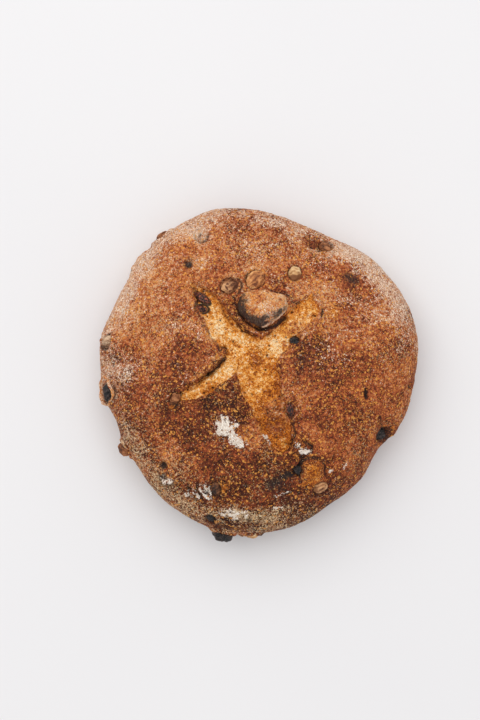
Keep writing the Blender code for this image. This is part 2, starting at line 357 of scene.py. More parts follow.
HAZELNUTS = (
    Topping("hazelnut_left", -18.8, 56.4, 12.0, 10.0, 9.6, 20.0, 1.9, Look.ROASTED, 0.5, -30.0),
    Topping("hazelnut_middle", -2.6, 60.4, 13.0, 11.6, 11.0, 35.0, 1.6, Look.TOASTED, 0.12, -50.0),
    Topping("hazelnut_right", 22.6, 65.0, 8.8, 10.6, 10.0, -12.0, 1.9, Look.PALE, 0.8, -70.0),
    Topping("hazelnut_hollow", 43.8, 84.2, 8.4, 9.2, 8.0, 0.0, 0.6, Look.BROWN),
    Topping("hazelnut_slit", -53.2, -14.2, 6.2, 9.0, 7.0, -18.0, 1.8, Look.BROWN),
    Topping("hazelnut_low", -27.4, -71.4, 8.0, 9.6, 8.0, 10.0, 1.7, Look.BURNT),
    Topping("hazelnut_lower_right", 38.8, -71.2, 10.0, 9.4, 8.4, 25.0, 1.7, Look.ROASTED),
    Topping("hazelnut_rim_lower_left", -86.2, -47.4, 10.0, 9.4, 10.0, 0.0, 0.2, Look.BROWN),
    Topping("hazelnut_rim_left", -96.2, 21.6, 9.0, 8.4, 9.0, 0.0, 1.6, Look.FLOURED),
    Topping("hazelnut_rim_upper_left", -62.4, 89.7, 10.4, 7.0, 7.4, 35.0, 0.4, Look.BROWN),
    Topping("hazelnut_rim_bottom", -4.9, -103.2, 9.0, 7.4, 8.0, 0.0, 1.2, Look.PALE),
)
RAISINS = (
    Topping("raisin_cut_upper", -35.4, 48.8, 12.4, 5.0, 5.2, -40.0, 0.7, Look.RED),
    Topping("raisin_cut_lower", -35.8, 42.2, 8.8, 5.6, 5.2, -10.0, 0.4, Look.RED),
    Topping("raisin_upper_left", -44.4, 70.3, 5.4, 6.0, 5.2, 20.0, 1.3, Look.SMOKY),
    Topping("raisin_small", 22.4, 22.2, 5.4, 5.0, 4.6, 10.0, 1.0, Look.BLACK),
    Topping("raisin_right", 19.8, -21.2, 4.8, 10.6, 5.6, 6.0, 1.0, Look.RED),
    Topping("raisin_crack", 24.8, -59.7, 6.0, 6.6, 6.0, 15.0, 1.0, Look.BLACK),
    Topping("raisin_low", -30.7, -91.5, 6.6, 6.0, 5.4, 0.0, 1.4, Look.BLACK),
    Topping("raisin_rim_left", -96.0, -11.4, 8.0, 12.4, 8.0, 0.0, 1.8, Look.BLACK),
    Topping("raisin_rim_right", 80.0, -38.0, 9.4, 10.0, 9.0, 0.0, 0.8, Look.BLACK),
    Topping("raisin_rim_bottom", -23.4, -102.4, 12.0, 9.8, 8.4, 0.0, -1.2, Look.BLACK),
)
TOPPINGS = HAZELNUTS + RAISINS
USUAL_FIELDS = {"crumb": 0.0, "char": 0.0, "flour": 0.0, "dust": 0.0, "gold": 0.0, "tone": 0.5, "pale": 0.5}


@dataclass(frozen=True)
class LoafForm:
    """The plain dome without relief, in the solids' own sizes."""

    crown_height: float = 66.0
    rim_height: float = 25.0
    foot_share: float = 0.86
    dome_power: float = 2.3
    under_turn: float = math.radians(75.0)
    mean_radius: float = 102.0
    slope_step: float = 0.25
    slope_limit: float = 0.9985
    rim_radii: tuple[float, ...] = (
        101.6, 106.4, 106.6, 104.7, 101.2, 101.6, 107.1, 111.0, 109.5, 107.5, 104.0, 104.0,
        101.2, 100.0, 98.0, 100.1, 102.2, 104.5, 102.5, 99.5, 95.2, 93.0, 90.8, 98.3,
    )

    def dome_height(self, share: Array) -> Array:
        """Height over a share of the rim's radius: the root of one less the share's power."""
        fall = np.clip(1.0 - np.abs(share) ** self.dome_power, 0.0, 1.0)
        return self.rim_height + (self.crown_height - self.rim_height) * np.sqrt(fall)

    def side_profile(self) -> tuple[Array, Array, Array]:
        """Trace the section from the crown over the rim and down a quarter oval to the foot.

        Returns:
            The running length from 0 to 1, the radius share and the height.
        """
        dome_share = np.sin(np.linspace(0.0, np.pi / 2, 400))
        turn = np.linspace(0.0, self.under_turn, 100)[1:]
        tuck = (1 - np.cos(turn)) / (1 - math.cos(self.under_turn))
        under_share = 1 - (1 - self.foot_share) * tuck
        under_height = self.rim_height * (1 - np.sin(turn) / math.sin(self.under_turn))
        share = np.concatenate((dome_share, under_share))
        height = np.concatenate((self.dome_height(dome_share), under_height))
        steps = np.hypot(np.diff(share) * self.mean_radius, np.diff(height))
        length = np.concatenate(([0.0], np.cumsum(steps)))
        return length / length[-1], share, height

    def plan_share(self, x: Array, y: Array) -> Array:
        """Share of the rim's radius at which a place in plan lies."""
        return np.hypot(x, y) / closed_curve(self.rim_radii, np.arctan2(y, x))

    def plan_height(self, x: Array, y: Array) -> Array:
        """Height of the plain dome over a place in plan."""
        return self.dome_height(np.minimum(self.plan_share(x, y), 1.0))

    def top_point(self, x: float, y: float) -> Array:
        """The plain dome's point over a place in plan."""
        return np.array([x, y, float(self.plan_height(np.array(x), np.array(y)))])

    def outward(self, x: float, y: float) -> Vector:
        """Find the dome's outward direction over a place in plan, from a short step inward.

        A place at or beyond the rim is first drawn in a little way from it.

        Args:
            x: place along X.
            y: place along Y.

        Returns:
            A direction of length 1.
        """
        limit = self.slope_limit / float(self.plan_share(np.array(x), np.array(y)))
        if limit < 1.0:
            x, y = x * limit, y * limit
        inner = 1.0 - self.slope_step / math.hypot(x, y)
        drop = float(self.plan_height(x * inner, y * inner)) - float(self.plan_height(x, y))
        away = Vector((x, y, 0.0)).normalized()
        return (away * drop / self.slope_step + Vector((0.0, 0.0, 1.0))).normalized()


FORM = LoafForm()


def tangent_axes(x: float, y: float, turn: float) -> Array:
    """Give a piece's length, width and height directions as the columns of a matrix.

    Args:
        x: the piece's place along X.
        y: its place along Y.
        turn: its turn about the crust's own direction, in degrees.

    Returns:
        A 3 by 3 matrix: the upright axes leant onto the crust, after the turn.
    """
    lean = Vector((0.0, 0.0, 1.0)).rotation_difference(FORM.outward(x, y)).to_matrix()
    angle = math.radians(turn)
    along = [math.cos(angle), math.sin(angle), 0.0]
    across = [-math.sin(angle), math.cos(angle), 0.0]
    return np.array(lean) @ np.column_stack((along, across, [0.0, 0.0, 1.0]))


@dataclass(frozen=True)
class CrustRelief:
    """Everything that stands over or lies under the plain dome, and where each colour goes."""

    long_cut: Line = (
        (-43.4, 58.7, 0.8), (-32.0, 45.9, 6.9), (-24.5, 32.5, 8.2), (-13.1, 20.1, 11.9),
        (-3.0, 9.5, 14.5), (2.0, -9.3, 11.9), (8.8, -24.4, 10.8), (13.9, -40.1, 7.5), (15.0, -46.8, 1.5),
    )
    right_cut: Line = (
        (3.0, 14.0, 9.0), (14.5, 23.9, 7.5), (23.3, 33.9, 7.5), (30.2, 41.5, 7.5), (33.0, 50.5, 2.0),
    )
    left_cut: Line = ((-50.8, -13.8, 1.9), (-40.0, -9.8, 4.8), (-28.2, -2.5, 5.6), (-12.0, 10.5, 6.5))
    cut_depth: float = 3.4
    crumb_rise: float = 2.6
    wall_run: float = 2.0
    bed_depth: float = 3.6
    lip_height: float = 1.1
    lip_run: float = 1.4
    edge_rag: tuple[Ripple, ...] = (Ripple(1.2, 5.0, 11, 2), Ripple(0.55, 1.7, 12))
    crack_rag: tuple[Ripple, ...] = (Ripple(0.3, 1.8, 41), Ripple(0.45, 5.0, 42))
    knob_height: float = 1.7
    knob_size: float = 3.4
    ear_line: Line = ((-22.5, 15.5), (-26.5, 11.5), (-33.5, 4.5), (-43.0, -2.5))
    corner_lip_line: Line = ((-20.0, 46.2), (-14.3, 37.5), (-8.4, 30.3), (-1.0, 27.4), (5.0, 28.6))
    fold_line: Line = ((-84.0, 50.0), (-88.0, 43.0), (-91.0, 34.0), (-95.0, 27.0))
    swellings: tuple[Mound, ...] = (
        Mound(-36.3, 89.8, 3.6, 4.0), Mound(-75.8, 77.0, 2.6, 7.0), Mound(-48.0, 95.0, 1.4, 6.0),
        Mound(35.6, 40.0, 2.4, 4.2), Mound(34.0, -59.0, 4.8, 6.6), Mound(31.0, -69.0, 1.6, 5.0),
        Mound(-58.6, -65.6, 1.8, 3.0), Mound(-55.8, -62.0, 1.5, 2.4), Mound(-62.6, -63.4, 1.4, 2.6),
        Mound(-44.4, -74.4, 1.6, 2.8), Mound(-39.4, -70.0, 1.4, 2.6), Mound(-57.4, -52.6, 1.2, 2.4),
        Mound(44.8, -29.9, 1.0, 3.0), Mound(-85.7, -0.1, 2.4, 7.0), Mound(12.0, -37.0, 1.8, 6.0),
        Mound(-20.0, 63.0, 1.4, 12.0), Mound(-34.0, -4.0, 1.2, 9.0), Mound(58.0, -51.0, 1.4, 6.0),
        Mound(-59.0, -64.5, 1.3, 3.2), Mound(88.0, 30.0, 1.6, 14.0), Mound(-50.0, 25.0, 1.0, 16.0),
        Mound(-98.5, -10.5, 2.4, 9.0), Mound(63.0, -12.7, 1.3, 4.2), Mound(-2.4, 12.2, 1.8, 4.8),
        Mound(-81.5, 68.5, 1.4, 3.6), Mound(86.0, -34.5, 2.6, 4.6), Mound(93.5, -6.0, 1.4, 4.0),
        Mound(-47.0, -75.8, 1.6, 2.2), Mound(-41.2, -72.8, 1.4, 2.0), Mound(-63.4, -58.6, 1.4, 2.6),
    )
    hollows: tuple[Mound, ...] = (
        Mound(35.5, 86.4, -4.4, 6.6), Mound(42.5, 83.4, -3.6, 6.6), Mound(-60.5, -56.5, -2.8, 3.2),
        Mound(-32.8, -73.6, -2.2, 2.2), Mound(-96.0, -11.0, -1.8, 6.0), Mound(-61.0, -69.4, -1.4, 2.4),
        Mound(97.8, -7.1, -2.4, 2.6), Mound(68.3, -12.6, -1.2, 2.4), Mound(49.0, -52.0, -1.2, 4.5),
        Mound(14.0, -64.0, -1.3, 7.0), Mound(79.9, -36.8, -3.2, 7.0), Mound(24.6, -59.7, -1.8, 3.6),
        Mound(57.6, 62.4, -1.2, 9.0), Mound(-30.7, -91.5, -1.4, 4.0), Mound(-95.0, -31.0, -3.6, 11.0),
        Mound(-43.0, -76.6, -1.2, 2.0),
    )
    knobbly: tuple[Mound, ...] = (
        Mound(-58.5, -61.5, 2.2, 7.0), Mound(-40.0, -73.0, 2.0, 7.0), Mound(-6.0, -88.0, 1.0, 12.0),
        Mound(-98.0, 20.0, 1.6, 8.0), Mound(-80.0, 72.0, 1.6, 8.0), Mound(40.0, 82.0, 1.6, 9.0),
        Mound(28.0, -48.0, 1.4, 6.0), Mound(-37.0, 89.0, 1.4, 5.0), Mound(38.0, -70.0, 1.0, 6.0),
    )
    pores: Line = (
        (5.1, 12.9, 0.8), (4.2, 3.8, 0.8), (-16.3, 21.4, 0.7), (-24.5, 16.4, 1.1), (-28.8, -7.4, 0.9),
        (-42.0, 54.7, 1.1), (-35.1, 53.5, 0.9), (-33.9, 51.8, 0.7), (6.6, 16.9, 0.6), (7.8, 14.4, 0.5),
    )
    cracks: tuple[Crack, ...] = (
        Crack(((-32.5, 0.8), (-28.6, 3.2), (-25.2, 6.6), (-22.2, 10.8)), 3.0, 1.5, 0.9),
        Crack(((-43.5, -7.6), (-38.0, -4.0), (-32.5, 0.8)), 2.2, 1.3, 0.3),
        Crack(((28.7, -41.5), (34.0, -44.6), (33.1, -48.1), (28.7, -50.9), (25.7, -54.7), (24.8, -60.0)),
              1.8, 0.9, 1.0),
        Crack(((26.0, -64.0), (25.0, -59.0), (27.0, -53.6), (32.0, -51.0), (38.0, -51.8), (42.0, -56.6),
               (42.0, -62.6)), 1.6, 1.0, 1.0),
        Crack(((-6.4, 13.2), (-5.4, 7.8), (-2.5, 5.4), (0.8, 7.4), (2.0, 13.2), (-0.4, 18.2)), 0.7, 0.8, 0.5),
        Crack(((-39.8, 42.5), (-34.0, 31.0), (-27.5, 20.9), (-24.0, 15.2)), 0.9, 0.9, 0.75),
        Crack(((-38.4, 57.0), (-29.7, 51.2), (-23.2, 44.6), (-21.8, 38.9), (-16.8, 32.4)), 0.9, 0.8, 0.6),
        Crack(((-16.6, 5.4), (-11.0, -7.9), (-6.4, -17.3), (-3.2, -23.6), (2.2, -31.5)), 0.7, 0.7, 0.45),
        Crack(((-40.8, 89.4), (-39.8, 86.0), (-36.4, 84.4), (-32.6, 86.0), (-31.8, 90.0)), 1.4, 0.9, 0.8),
        Crack(((-37.6, 92.6), (-36.0, 89.0), (-37.4, 86.0)), 1.0, 0.7, 0.5),
        Crack(((-60.0, -62.0), (-57.0, -60.4), (-54.0, -62.6)), 1.2, 0.9, 0.7),
        Crack(((-62.6, -66.6), (-60.0, -69.6), (-55.6, -69.6)), 1.2, 0.9, 0.8),
        Crack(((-48.4, -74.4), (-46.4, -71.4), (-41.8, -71.0)), 1.2, 0.9, 0.7),
        Crack(((-38.6, -67.6), (-38.8, -72.0), (-36.0, -78.0)), 1.6, 0.9, 0.9),
        Crack(((-45.0, -71.4), (-43.2, -75.4), (-39.8, -78.8)), 1.5, 0.8, 0.8),
        Crack(((-64.6, -60.6), (-62.0, -63.4), (-58.4, -63.0)), 1.4, 0.8, 0.8),
        Crack(((5.1, 54.6), (13.3, 52.2), (21.5, 50.3)), 1.2, 0.7, 0.7),
        Crack(((68.1, -8.6), (68.3, -14.6)), 2.2, 1.1, 1.3),
        Crack(((49.3, -48.5), (46.8, -54.3)), 1.6, 0.7, 0.9),
        Crack(((-49.2, -10.4), (-50.4, -15.6), (-52.9, -19.9)), 1.6, 0.8, 0.9),
        Crack(((-94.2, 28.7), (-97.0, 25.0)), 1.5, 0.8, 0.9),
        Crack(((39.4, 42.4), (39.9, 39.6), (38.9, 36.9)), 1.4, 0.8, 0.95),
        Crack(((36.9, 25.6), (39.6, 21.9)), 1.4, 1.0, 0.8),
        Crack(((21.4, -29.8), (22.9, -36.4), (20.8, -42.6)), 2.0, 1.2, 0.8),
        Crack(((24.6, -59.6), (19.0, -61.6), (11.0, -66.0)), 1.2, 2.6, 0.6),
        Crack(((77.6, -26.0), (79.2, -33.0)), 0.9, 1.6, 0.7),
        Crack(((-12.6, 60.6), (-10.6, 56.8), (-12.8, 51.5)), 1.8, 0.9, 0.9),
        Crack(((20.6, 46.5), (25.6, 45.9)), 1.4, 1.2, 0.75),
        # The next two paint the shade in the gap under the curled corner's edge.
        Crack(((-15.6, 47.4), (-13.2, 41.5), (-9.2, 35.0), (-4.0, 31.0), (1.0, 29.8)), 2.4, 1.0, 0.9),
        Crack(((-1.0, 29.6), (4.0, 29.2), (10.0, 31.4), (16.0, 36.6)), 3.0, 1.9, 0.95),
        Crack(((-90.5, 12.0), (-92.5, 6.0)), 1.0, 0.8, 0.7),
        Crack(((-40.5, 54.0), (-38.0, 50.0), (-40.0, 44.0)), 1.6, 1.2, 0.8),
        Crack(((9.5, 86.0), (14.0, 77.0), (13.0, 70.0)), 0.5, 0.6, 0.25),
        Crack(((48.6, -61.6), (43.4, -62.4), (42.2, -58.6)), 0.9, 0.6, 0.8),
    )

    def cuts(self, x: Array, y: Array) -> tuple[Array, Array]:
        """Measure the opened cuts in plan.

        Args:
            x: places along X.
            y: places along Y.

        Returns:
            The distance beyond the nearest cut's edge, and the share of its half-width.
        """
        beyond = np.full(np.shape(x), FAR)
        share = np.full(np.shape(x), FAR)
        for cut in (self.long_cut, self.right_cut, self.left_cut):
            distance, half = line_distance(x, y, cut)
            closer = distance - half < beyond
            beyond = np.where(closer, distance - half, beyond)
            share = np.where(closer, distance / half, share)
        return beyond, share

    def edges(self, points: Array) -> tuple[Array, Array]:
        """Measure the cuts with their ragged edges.

        Args:
            points: places on the plain dome.

        Returns:
            The distance beyond the nearest cut's edge, and the share of its half-width.
        """
        beyond, share = self.cuts(points[:, 0], points[:, 1])
        return add_up(self.edge_rag, beyond, points), share

    def covered(self, x: Array, y: Array) -> Array:
        """Find where the ear and the curled corner's lip lie over a cut.

        Args:
            x: places along X.
            y: places along Y.

        Returns:
            Numbers from 0 to 1, which is covered.
        """
        ear = from_line(x, y, self.ear_line)
        lip = from_line(x, y, self.corner_lip_line)
        return smooth_step(-np.minimum(ear, lip), -3.4, -1.8)

    def splits(self, points: Array) -> tuple[Array, Array]:
        """Add up the cracks.

        Args:
            points: places on the plain dome.

        Returns:
            Their depth and the painted shade in them.
        """
        depth = np.zeros(len(points))
        dark = np.zeros(len(points))
        rag = add_up(self.crack_rag, 0.0, points)
        for crack in self.cracks:
            opened, shade = crack.read(points[:, 0], points[:, 1], rag)
            depth = depth + opened
            dark = np.maximum(dark, shade)
        return depth, dark

    def seat(self, points: Array, topping: Topping) -> tuple[Array, Array]:
        """Shape the crust round a nut or raisin: a dip under it, then a crevice painted dark with shade, and
        a collar.

        Args:
            points: places on the plain dome.
            topping: the nut or raisin.

        Returns:
            The height to add and the painted shade in the crevice.
        """
        axes = tangent_axes(topping.x, topping.y, topping.turn)
        away = (points - FORM.top_point(topping.x, topping.y)) @ axes
        belt = math.sqrt(max(0.2, 1.0 - (2.0 * topping.depth / topping.height) ** 2))
        long_reach = topping.length / 2 * belt
        wide_reach = topping.width / 2 * belt
        share = np.hypot(away[:, 0] / long_reach, away[:, 1] / wide_reach)
        edge = (share - 1.0) * (long_reach + wide_reach) / 2
        near = np.abs(away[:, 2]) < topping.height
        dip = -1.4 * smooth_step(-edge, -0.6, 1.4)
        collar = 1.5 * bell(edge - 1.9, 1.5)
        dark = bell(edge - 0.1, 0.9)
        return (dip + collar) * near, dark * near

    def knobs(self, points: Array) -> tuple[Array, Array]:
        """Roughen the knobbly places with round lumps that meet in creases painted dark with shade.

        Args:
            points: places on the plain dome.

        Returns:
            The height to add and the painted shade in the creases.
        """
        lump = lumps(points, self.knob_size, 37)
        rough = np.zeros(len(points))
        for item in self.knobbly:
            rough = np.maximum(rough, item.read(points))
        dark = np.minimum(rough, 1.0) * smooth_step(0.78 - lump, 0.0, 0.3)
        return self.knob_height * rough * (lump - 0.6), dark

    def waves(self, points: Array) -> Array:
        """Work out the loaf's slow unevenness, from a few crossed sine waves.

        Args:
            points: places on the plain dome.

        Returns:
            The height to add.
        """
        x, y, z = points.T
        wide = 0.55 * np.sin(x / 17.0 + 0.6) * np.cos(y / 21.0 - 0.4)
        middle = 0.38 * np.sin(x / 9.5 - y / 12.0 + 1.3) + 0.3 * np.sin(y / 7.8 + x / 15.0)
        fine = 0.18 * np.sin(x / 4.4 + z / 5.0) * np.sin(y / 4.9 - z / 6.0)
        return (wide + middle + fine) * smooth_step(z, 2.0, 22.0)


@dataclass(frozen=True)
class Colouring:
    """Where flour, gold, burnt crust with painted shade, and lighter crust with painted light lie on the
    loaf, as patches in plan and noises.
    """

    base_tone: float = 0.46
    base_pale: float = 0.26
    crumb_pale: float = 0.52
    crumb_gold: float = 0.5
    rim_ripple: Ripple = Ripple(0.5, 5.0, 73, 3)
    dust_ripple: Ripple = Ripple(0.22, 9.0, 71, 3)
    gold_ripple: Ripple = Ripple(0.2, 8.0, 81, 3)
    tone_ripple: Ripple = Ripple(0.14, 14.0, 91, 3)
    pale_ripple: Ripple = Ripple(0.2, 4.0, 99, 2)
    crumb_ripple: Ripple = Ripple(0.2, 5.0, 95, 3)
    skin_ripple: Ripple = Ripple(0.32, 4.0, 97, 3)
    crumb_gold_ripple: Ripple = Ripple(0.3, 4.0, 98, 2)
    rim_dust: tuple[float, ...] = (0.1, 0.61, 0.72, 0.46, 0.76, 0.74, 0.5, 0.4, 0.46, 0.46, 0.2, 0.0)
    dust: tuple[Patch, ...] = (
        Patch(9.0, 99.0, 0.35, 14.0, 5.0, -5.0), Patch(54.0, 79.0, 0.5, 9.0, 5.0, -30.0),
        Patch(78.0, 63.0, 0.5, 17.0, 7.0, -45.0), Patch(92.0, 44.0, 0.3, 6.0, 14.0),
        Patch(-100.5, -12.0, 0.9, 2.4, 9.0), Patch(-84.0, 2.0, 0.7, 8.0, 10.0),
        Patch(-94.0, 4.0, 0.6, 5.0, 7.0), Patch(-80.0, -42.0, 0.25, 10.0, 18.0, 25.0),
        Patch(0.0, -60.0, -0.35, 34.0, 14.0), Patch(-60.0, -66.0, 0.36, 10.0, 8.0, -40.0),
        Patch(-40.0, -80.0, 0.3, 16.0, 8.0, -20.0), Patch(6.0, -90.0, 0.45, 16.0, 8.0, 10.0),
        Patch(-14.3, -87.0, 0.9, 12.0, 5.0, 0.0), Patch(66.0, -30.0, -0.35, 30.0, 40.0),
        Patch(-36.5, 89.5, 1.2, 4.4, 4.8), Patch(-82.0, 52.0, 0.6, 4.0, 12.0, -20.0),
        Patch(52.0, 50.0, 0.3, 10.0, 6.0, -20.0), Patch(-48.0, 28.0, 0.28, 18.0, 10.0, 20.0),
        Patch(46.0, 14.0, 0.24, 16.0, 12.0), Patch(66.0, 76.0, 0.4, 10.0, 4.0, -35.0),
        Patch(-46.0, 92.0, 0.4, 8.0, 5.0), Patch(-78.0, 74.0, 0.4, 8.0, 8.0),
        Patch(60.0, 32.0, 0.17, 30.0, 34.0), Patch(0.0, 82.0, 0.16, 60.0, 16.0),
        # The first patch on the next line takes the dust out of the hollow at the upper right: painted shade.
        Patch(37.0, 86.6, -0.9, 7.0, 4.0, -20.0), Patch(-22.0, -97.0, -0.28, 26.0, 5.0, 6.0),
    )
    gold: tuple[Patch, ...] = (
        Patch(-8.0, -36.5, 0.9, 7.5, 6.5), Patch(-21.5, -70.5, 0.8, 5.0, 6.0),
        Patch(-54.0, -54.0, 0.5, 7.0, 7.0), Patch(34.0, 60.0, 0.35, 12.0, 6.0, -20.0),
        Patch(33.6, -59.0, 1.1, 8.0, 8.6), Patch(28.0, -42.0, 0.5, 6.0, 5.0),
        Patch(44.0, 44.0, 0.5, 6.0, 10.0), Patch(-52.0, 85.0, 0.5, 9.0, 7.0),
        Patch(74.0, -30.0, 0.3, 10.0, 8.0), Patch(60.0, -10.0, 0.2, 26.0, 30.0),
        Patch(-46.0, 88.0, 0.8, 8.0, 6.0), Patch(62.5, -8.6, 0.9, 5.0, 2.6),
        Patch(-70.0, 30.0, 0.25, 16.0, 16.0), Patch(37.0, 26.0, 0.3, 6.0, 5.0),
        Patch(41.0, 79.4, 1.0, 6.0, 2.2, 10.0), Patch(22.0, 66.0, 0.4, 8.0, 7.0),
        Patch(-3.0, 68.0, 0.5, 9.0, 3.0), Patch(91.0, -34.0, 0.9, 2.6, 4.0),
    )
    # Besides burnt crust, the patches over the hollows, holes and raisins' cavities paint their shade dark.
    char: tuple[Patch, ...] = (
        Patch(58.6, 62.6, 0.85, 7.0, 3.6, -25.0), Patch(19.5, -62.4, 0.9, 5.0, 2.6, 25.0),
        Patch(9.5, -67.6, 0.8, 9.0, 4.4, 30.0), Patch(16.0, -72.0, 0.4, 8.0, 4.0, 10.0),
        Patch(27.0, 10.0, 0.4, 9.0, 9.0), Patch(-58.0, 31.0, 0.5, 3.0, 2.2),
        Patch(-60.7, -57.0, 1.3, 2.6, 2.6), Patch(34.6, 87.4, 0.5, 5.4, 3.2, -20.0),
        Patch(44.5, 82.0, 0.3, 4.4, 3.4, -20.0), Patch(80.0, -38.0, 0.95, 6.5, 6.5),
        Patch(97.8, -7.1, 0.9, 1.6, 2.4), Patch(37.2, -76.0, 0.6, 5.0, 2.2, 20.0),
        Patch(-44.4, 70.3, 0.5, 4.0, 4.0), Patch(22.0, -46.0, 0.35, 3.0, 8.0),
        Patch(3.0, -44.0, 0.35, 5.0, 6.0, -40.0), Patch(25.5, 45.5, 0.5, 3.0, 2.0),
        Patch(-30.7, -91.5, 0.7, 4.4, 4.0), Patch(-40.0, 6.0, 0.15, 16.0, 10.0),
        Patch(-88.0, 10.0, 0.35, 4.0, 4.0), Patch(-94.6, -11.0, 1.4, 3.6, 7.2),
        Patch(-32.8, -73.6, 1.3, 1.2, 2.6, -35.0), Patch(56.0, 57.0, 0.3, 14.0, 6.0, -30.0),
        Patch(-61.0, -69.6, 0.8, 3.0, 1.6, -30.0),
    )
    # The tone patches hold the crust's own browning and also painted light: lighter over the upper left and
    # the top, darker over the lower half towards -Y. The patch in the hollow at the upper right is painted
    # shade.
    tone: tuple[Patch, ...] = (
        Patch(-60.0, 55.0, 0.2, 40.0, 40.0), Patch(0.0, 85.0, 0.14, 60.0, 20.0),
        Patch(66.0, 44.0, 0.14, 34.0, 30.0), Patch(10.0, -82.0, -0.25, 90.0, 30.0),
        Patch(34.0, -60.0, 0.42, 7.4, 7.8), Patch(-40.0, -40.0, -0.12, 40.0, 34.0),
        Patch(36.0, 15.0, -0.1, 14.0, 18.0), Patch(-50.0, 20.0, -0.08, 16.0, 16.0),
        Patch(-42.0, -14.0, -0.23, 34.0, 20.0), Patch(8.0, -60.0, -0.15, 30.0, 14.0),
        Patch(56.0, 60.0, -0.12, 14.0, 8.0, -25.0), Patch(-86.0, 58.0, 0.2, 14.0, 30.0, -25.0),
        Patch(-46.0, 88.0, 0.2, 9.0, 7.0), Patch(-30.0, 5.0, -0.08, 10.0, 6.0, 45.0),
        Patch(-64.0, -56.0, 0.12, 16.0, 16.0), Patch(37.0, 86.4, -0.3, 7.0, 5.0, -20.0),
        Patch(-22.0, -97.0, -0.12, 26.0, 6.0, 6.0), Patch(-41.0, -73.0, 0.2, 8.0, 4.0, -30.0),
    )
    pale: tuple[Patch, ...] = (
        Patch(-28.0, 32.0, 0.22, 12.0, 7.0, -60.0), Patch(9.5, 20.0, 0.22, 5.0, 9.0),
        Patch(-2.4, 12.4, -0.4, 3.6, 6.0), Patch(10.0, -27.0, -0.66, 11.0, 18.0),
        Patch(13.0, -42.0, 0.3, 5.0, 4.0), Patch(-2.0, 17.0, 0.2, 6.0, 3.0),
        Patch(-34.0, -2.0, 0.14, 14.0, 5.0, 30.0), Patch(-23.0, 2.0, 0.2, 5.0, 4.0),
        Patch(24.0, 34.0, -0.06, 14.0, 14.0),
    )
    thin: tuple[Patch, ...] = (
        Patch(34.0, -59.4, 0.85, 6.2, 6.8), Patch(31.0, -68.4, 0.5, 5.0, 3.0),
        Patch(47.0, 40.0, 0.6, 6.0, 9.0, -10.0), Patch(37.0, 26.0, 0.5, 5.0, 5.0),
        Patch(-53.0, -19.5, 0.5, 4.0, 2.4), Patch(24.5, -49.5, 0.45, 5.0, 3.6),
        Patch(-37.0, -13.0, 0.3, 9.0, 2.4, 15.0), Patch(-22.0, -70.0, 0.6, 3.0, 5.0),
        Patch(0.0, -46.0, 0.3, 6.0, 4.0), Patch(-56.0, -55.0, 0.35, 4.0, 4.0),
        Patch(40.0, 78.6, 0.7, 5.0, 1.8, 5.0), Patch(-48.0, 86.4, 0.4, 6.0, 4.0, 30.0),
        Patch(84.6, -32.0, 0.4, 2.4, 4.0), Patch(-46.5, 60.5, 0.5, 3.0, 2.0),
        Patch(-10.0, 68.0, 0.3, 16.0, 3.0), Patch(-44.0, -73.2, 0.6, 3.4, 2.0, -30.0),
        Patch(-37.4, -73.6, 0.6, 1.6, 3.4, -30.0), Patch(-61.6, -60.6, 0.5, 3.0, 2.0, -20.0),
    )
    # Dark patches in the crumb: burnt bits, and painted shade in the raisins' cavity.
    crumb_char_and_shade: tuple[Patch, ...] = (
        Patch(-25.0, 28.9, 0.3, 2.2, 2.0), Patch(-38.5, 52.0, 0.7, 2.6, 5.0, 30.0),
        Patch(22.5, 43.5, 0.5, 4.0, 3.0, 20.0), Patch(2.6, -10.0, 0.25, 4.0, 3.0),
        Patch(14.0, -14.0, 0.2, 4.0, 6.0), Patch(7.0, -26.0, 0.25, 3.0, 3.0),
    )
    baked: tuple[Patch, ...] = (
        Patch(17.0, 4.0, 0.9, 4.0, 16.0), Patch(19.0, -18.0, 0.9, 4.6, 14.0),
        Patch(8.0, -22.0, 0.42, 8.0, 12.0), Patch(-41.0, 56.5, 0.4, 5.0, 5.0),
        Patch(24.0, 30.0, 0.4, 6.0, 12.0, -40.0), Patch(-2.5, 8.8, 0.3, 5.0, 6.0),
    )

    def total(self, name: str, x: Array, y: Array) -> Array:
        """Add up the patches of one name, each read at the same places in plan."""
        return add_up(getattr(self, name), np.zeros(np.shape(x)), x, y)


@dataclass(frozen=True)
class FlourPile:
    """White flour that lies as a thin heap: an oval in plan with a ragged edge."""

    x: float
    y: float
    long: float
    short: float
    turn: float
    thickness: float
    density: float = 1.0

    def read(self, x: Array, y: Array, rag: Array) -> Array:
        """Cover from 0 to 1: how far inside the oval a place lies, with the rag added."""
        away = oval_distance(x, y, (self.x, self.y), (self.long, self.short), self.turn)
        return self.density * smooth_step(1.0 - away + 0.5 * rag, -0.3, 0.6)


@dataclass(frozen=True)
class FlourStreak:
    """A pale shard or streak along a line."""

    line: Line
    half_width: float
    thickness: float
    density: float = 0.6

    def read(self, x: Array, y: Array, rag: Array) -> Array:
        """Cover from 0 to 1: how far within the half-width a place lies, with the rag added."""
        away = from_line(x, y, self.line)
        return self.density * smooth_step(1.0 - away / self.half_width + 0.4 * rag, -0.2, 0.6)


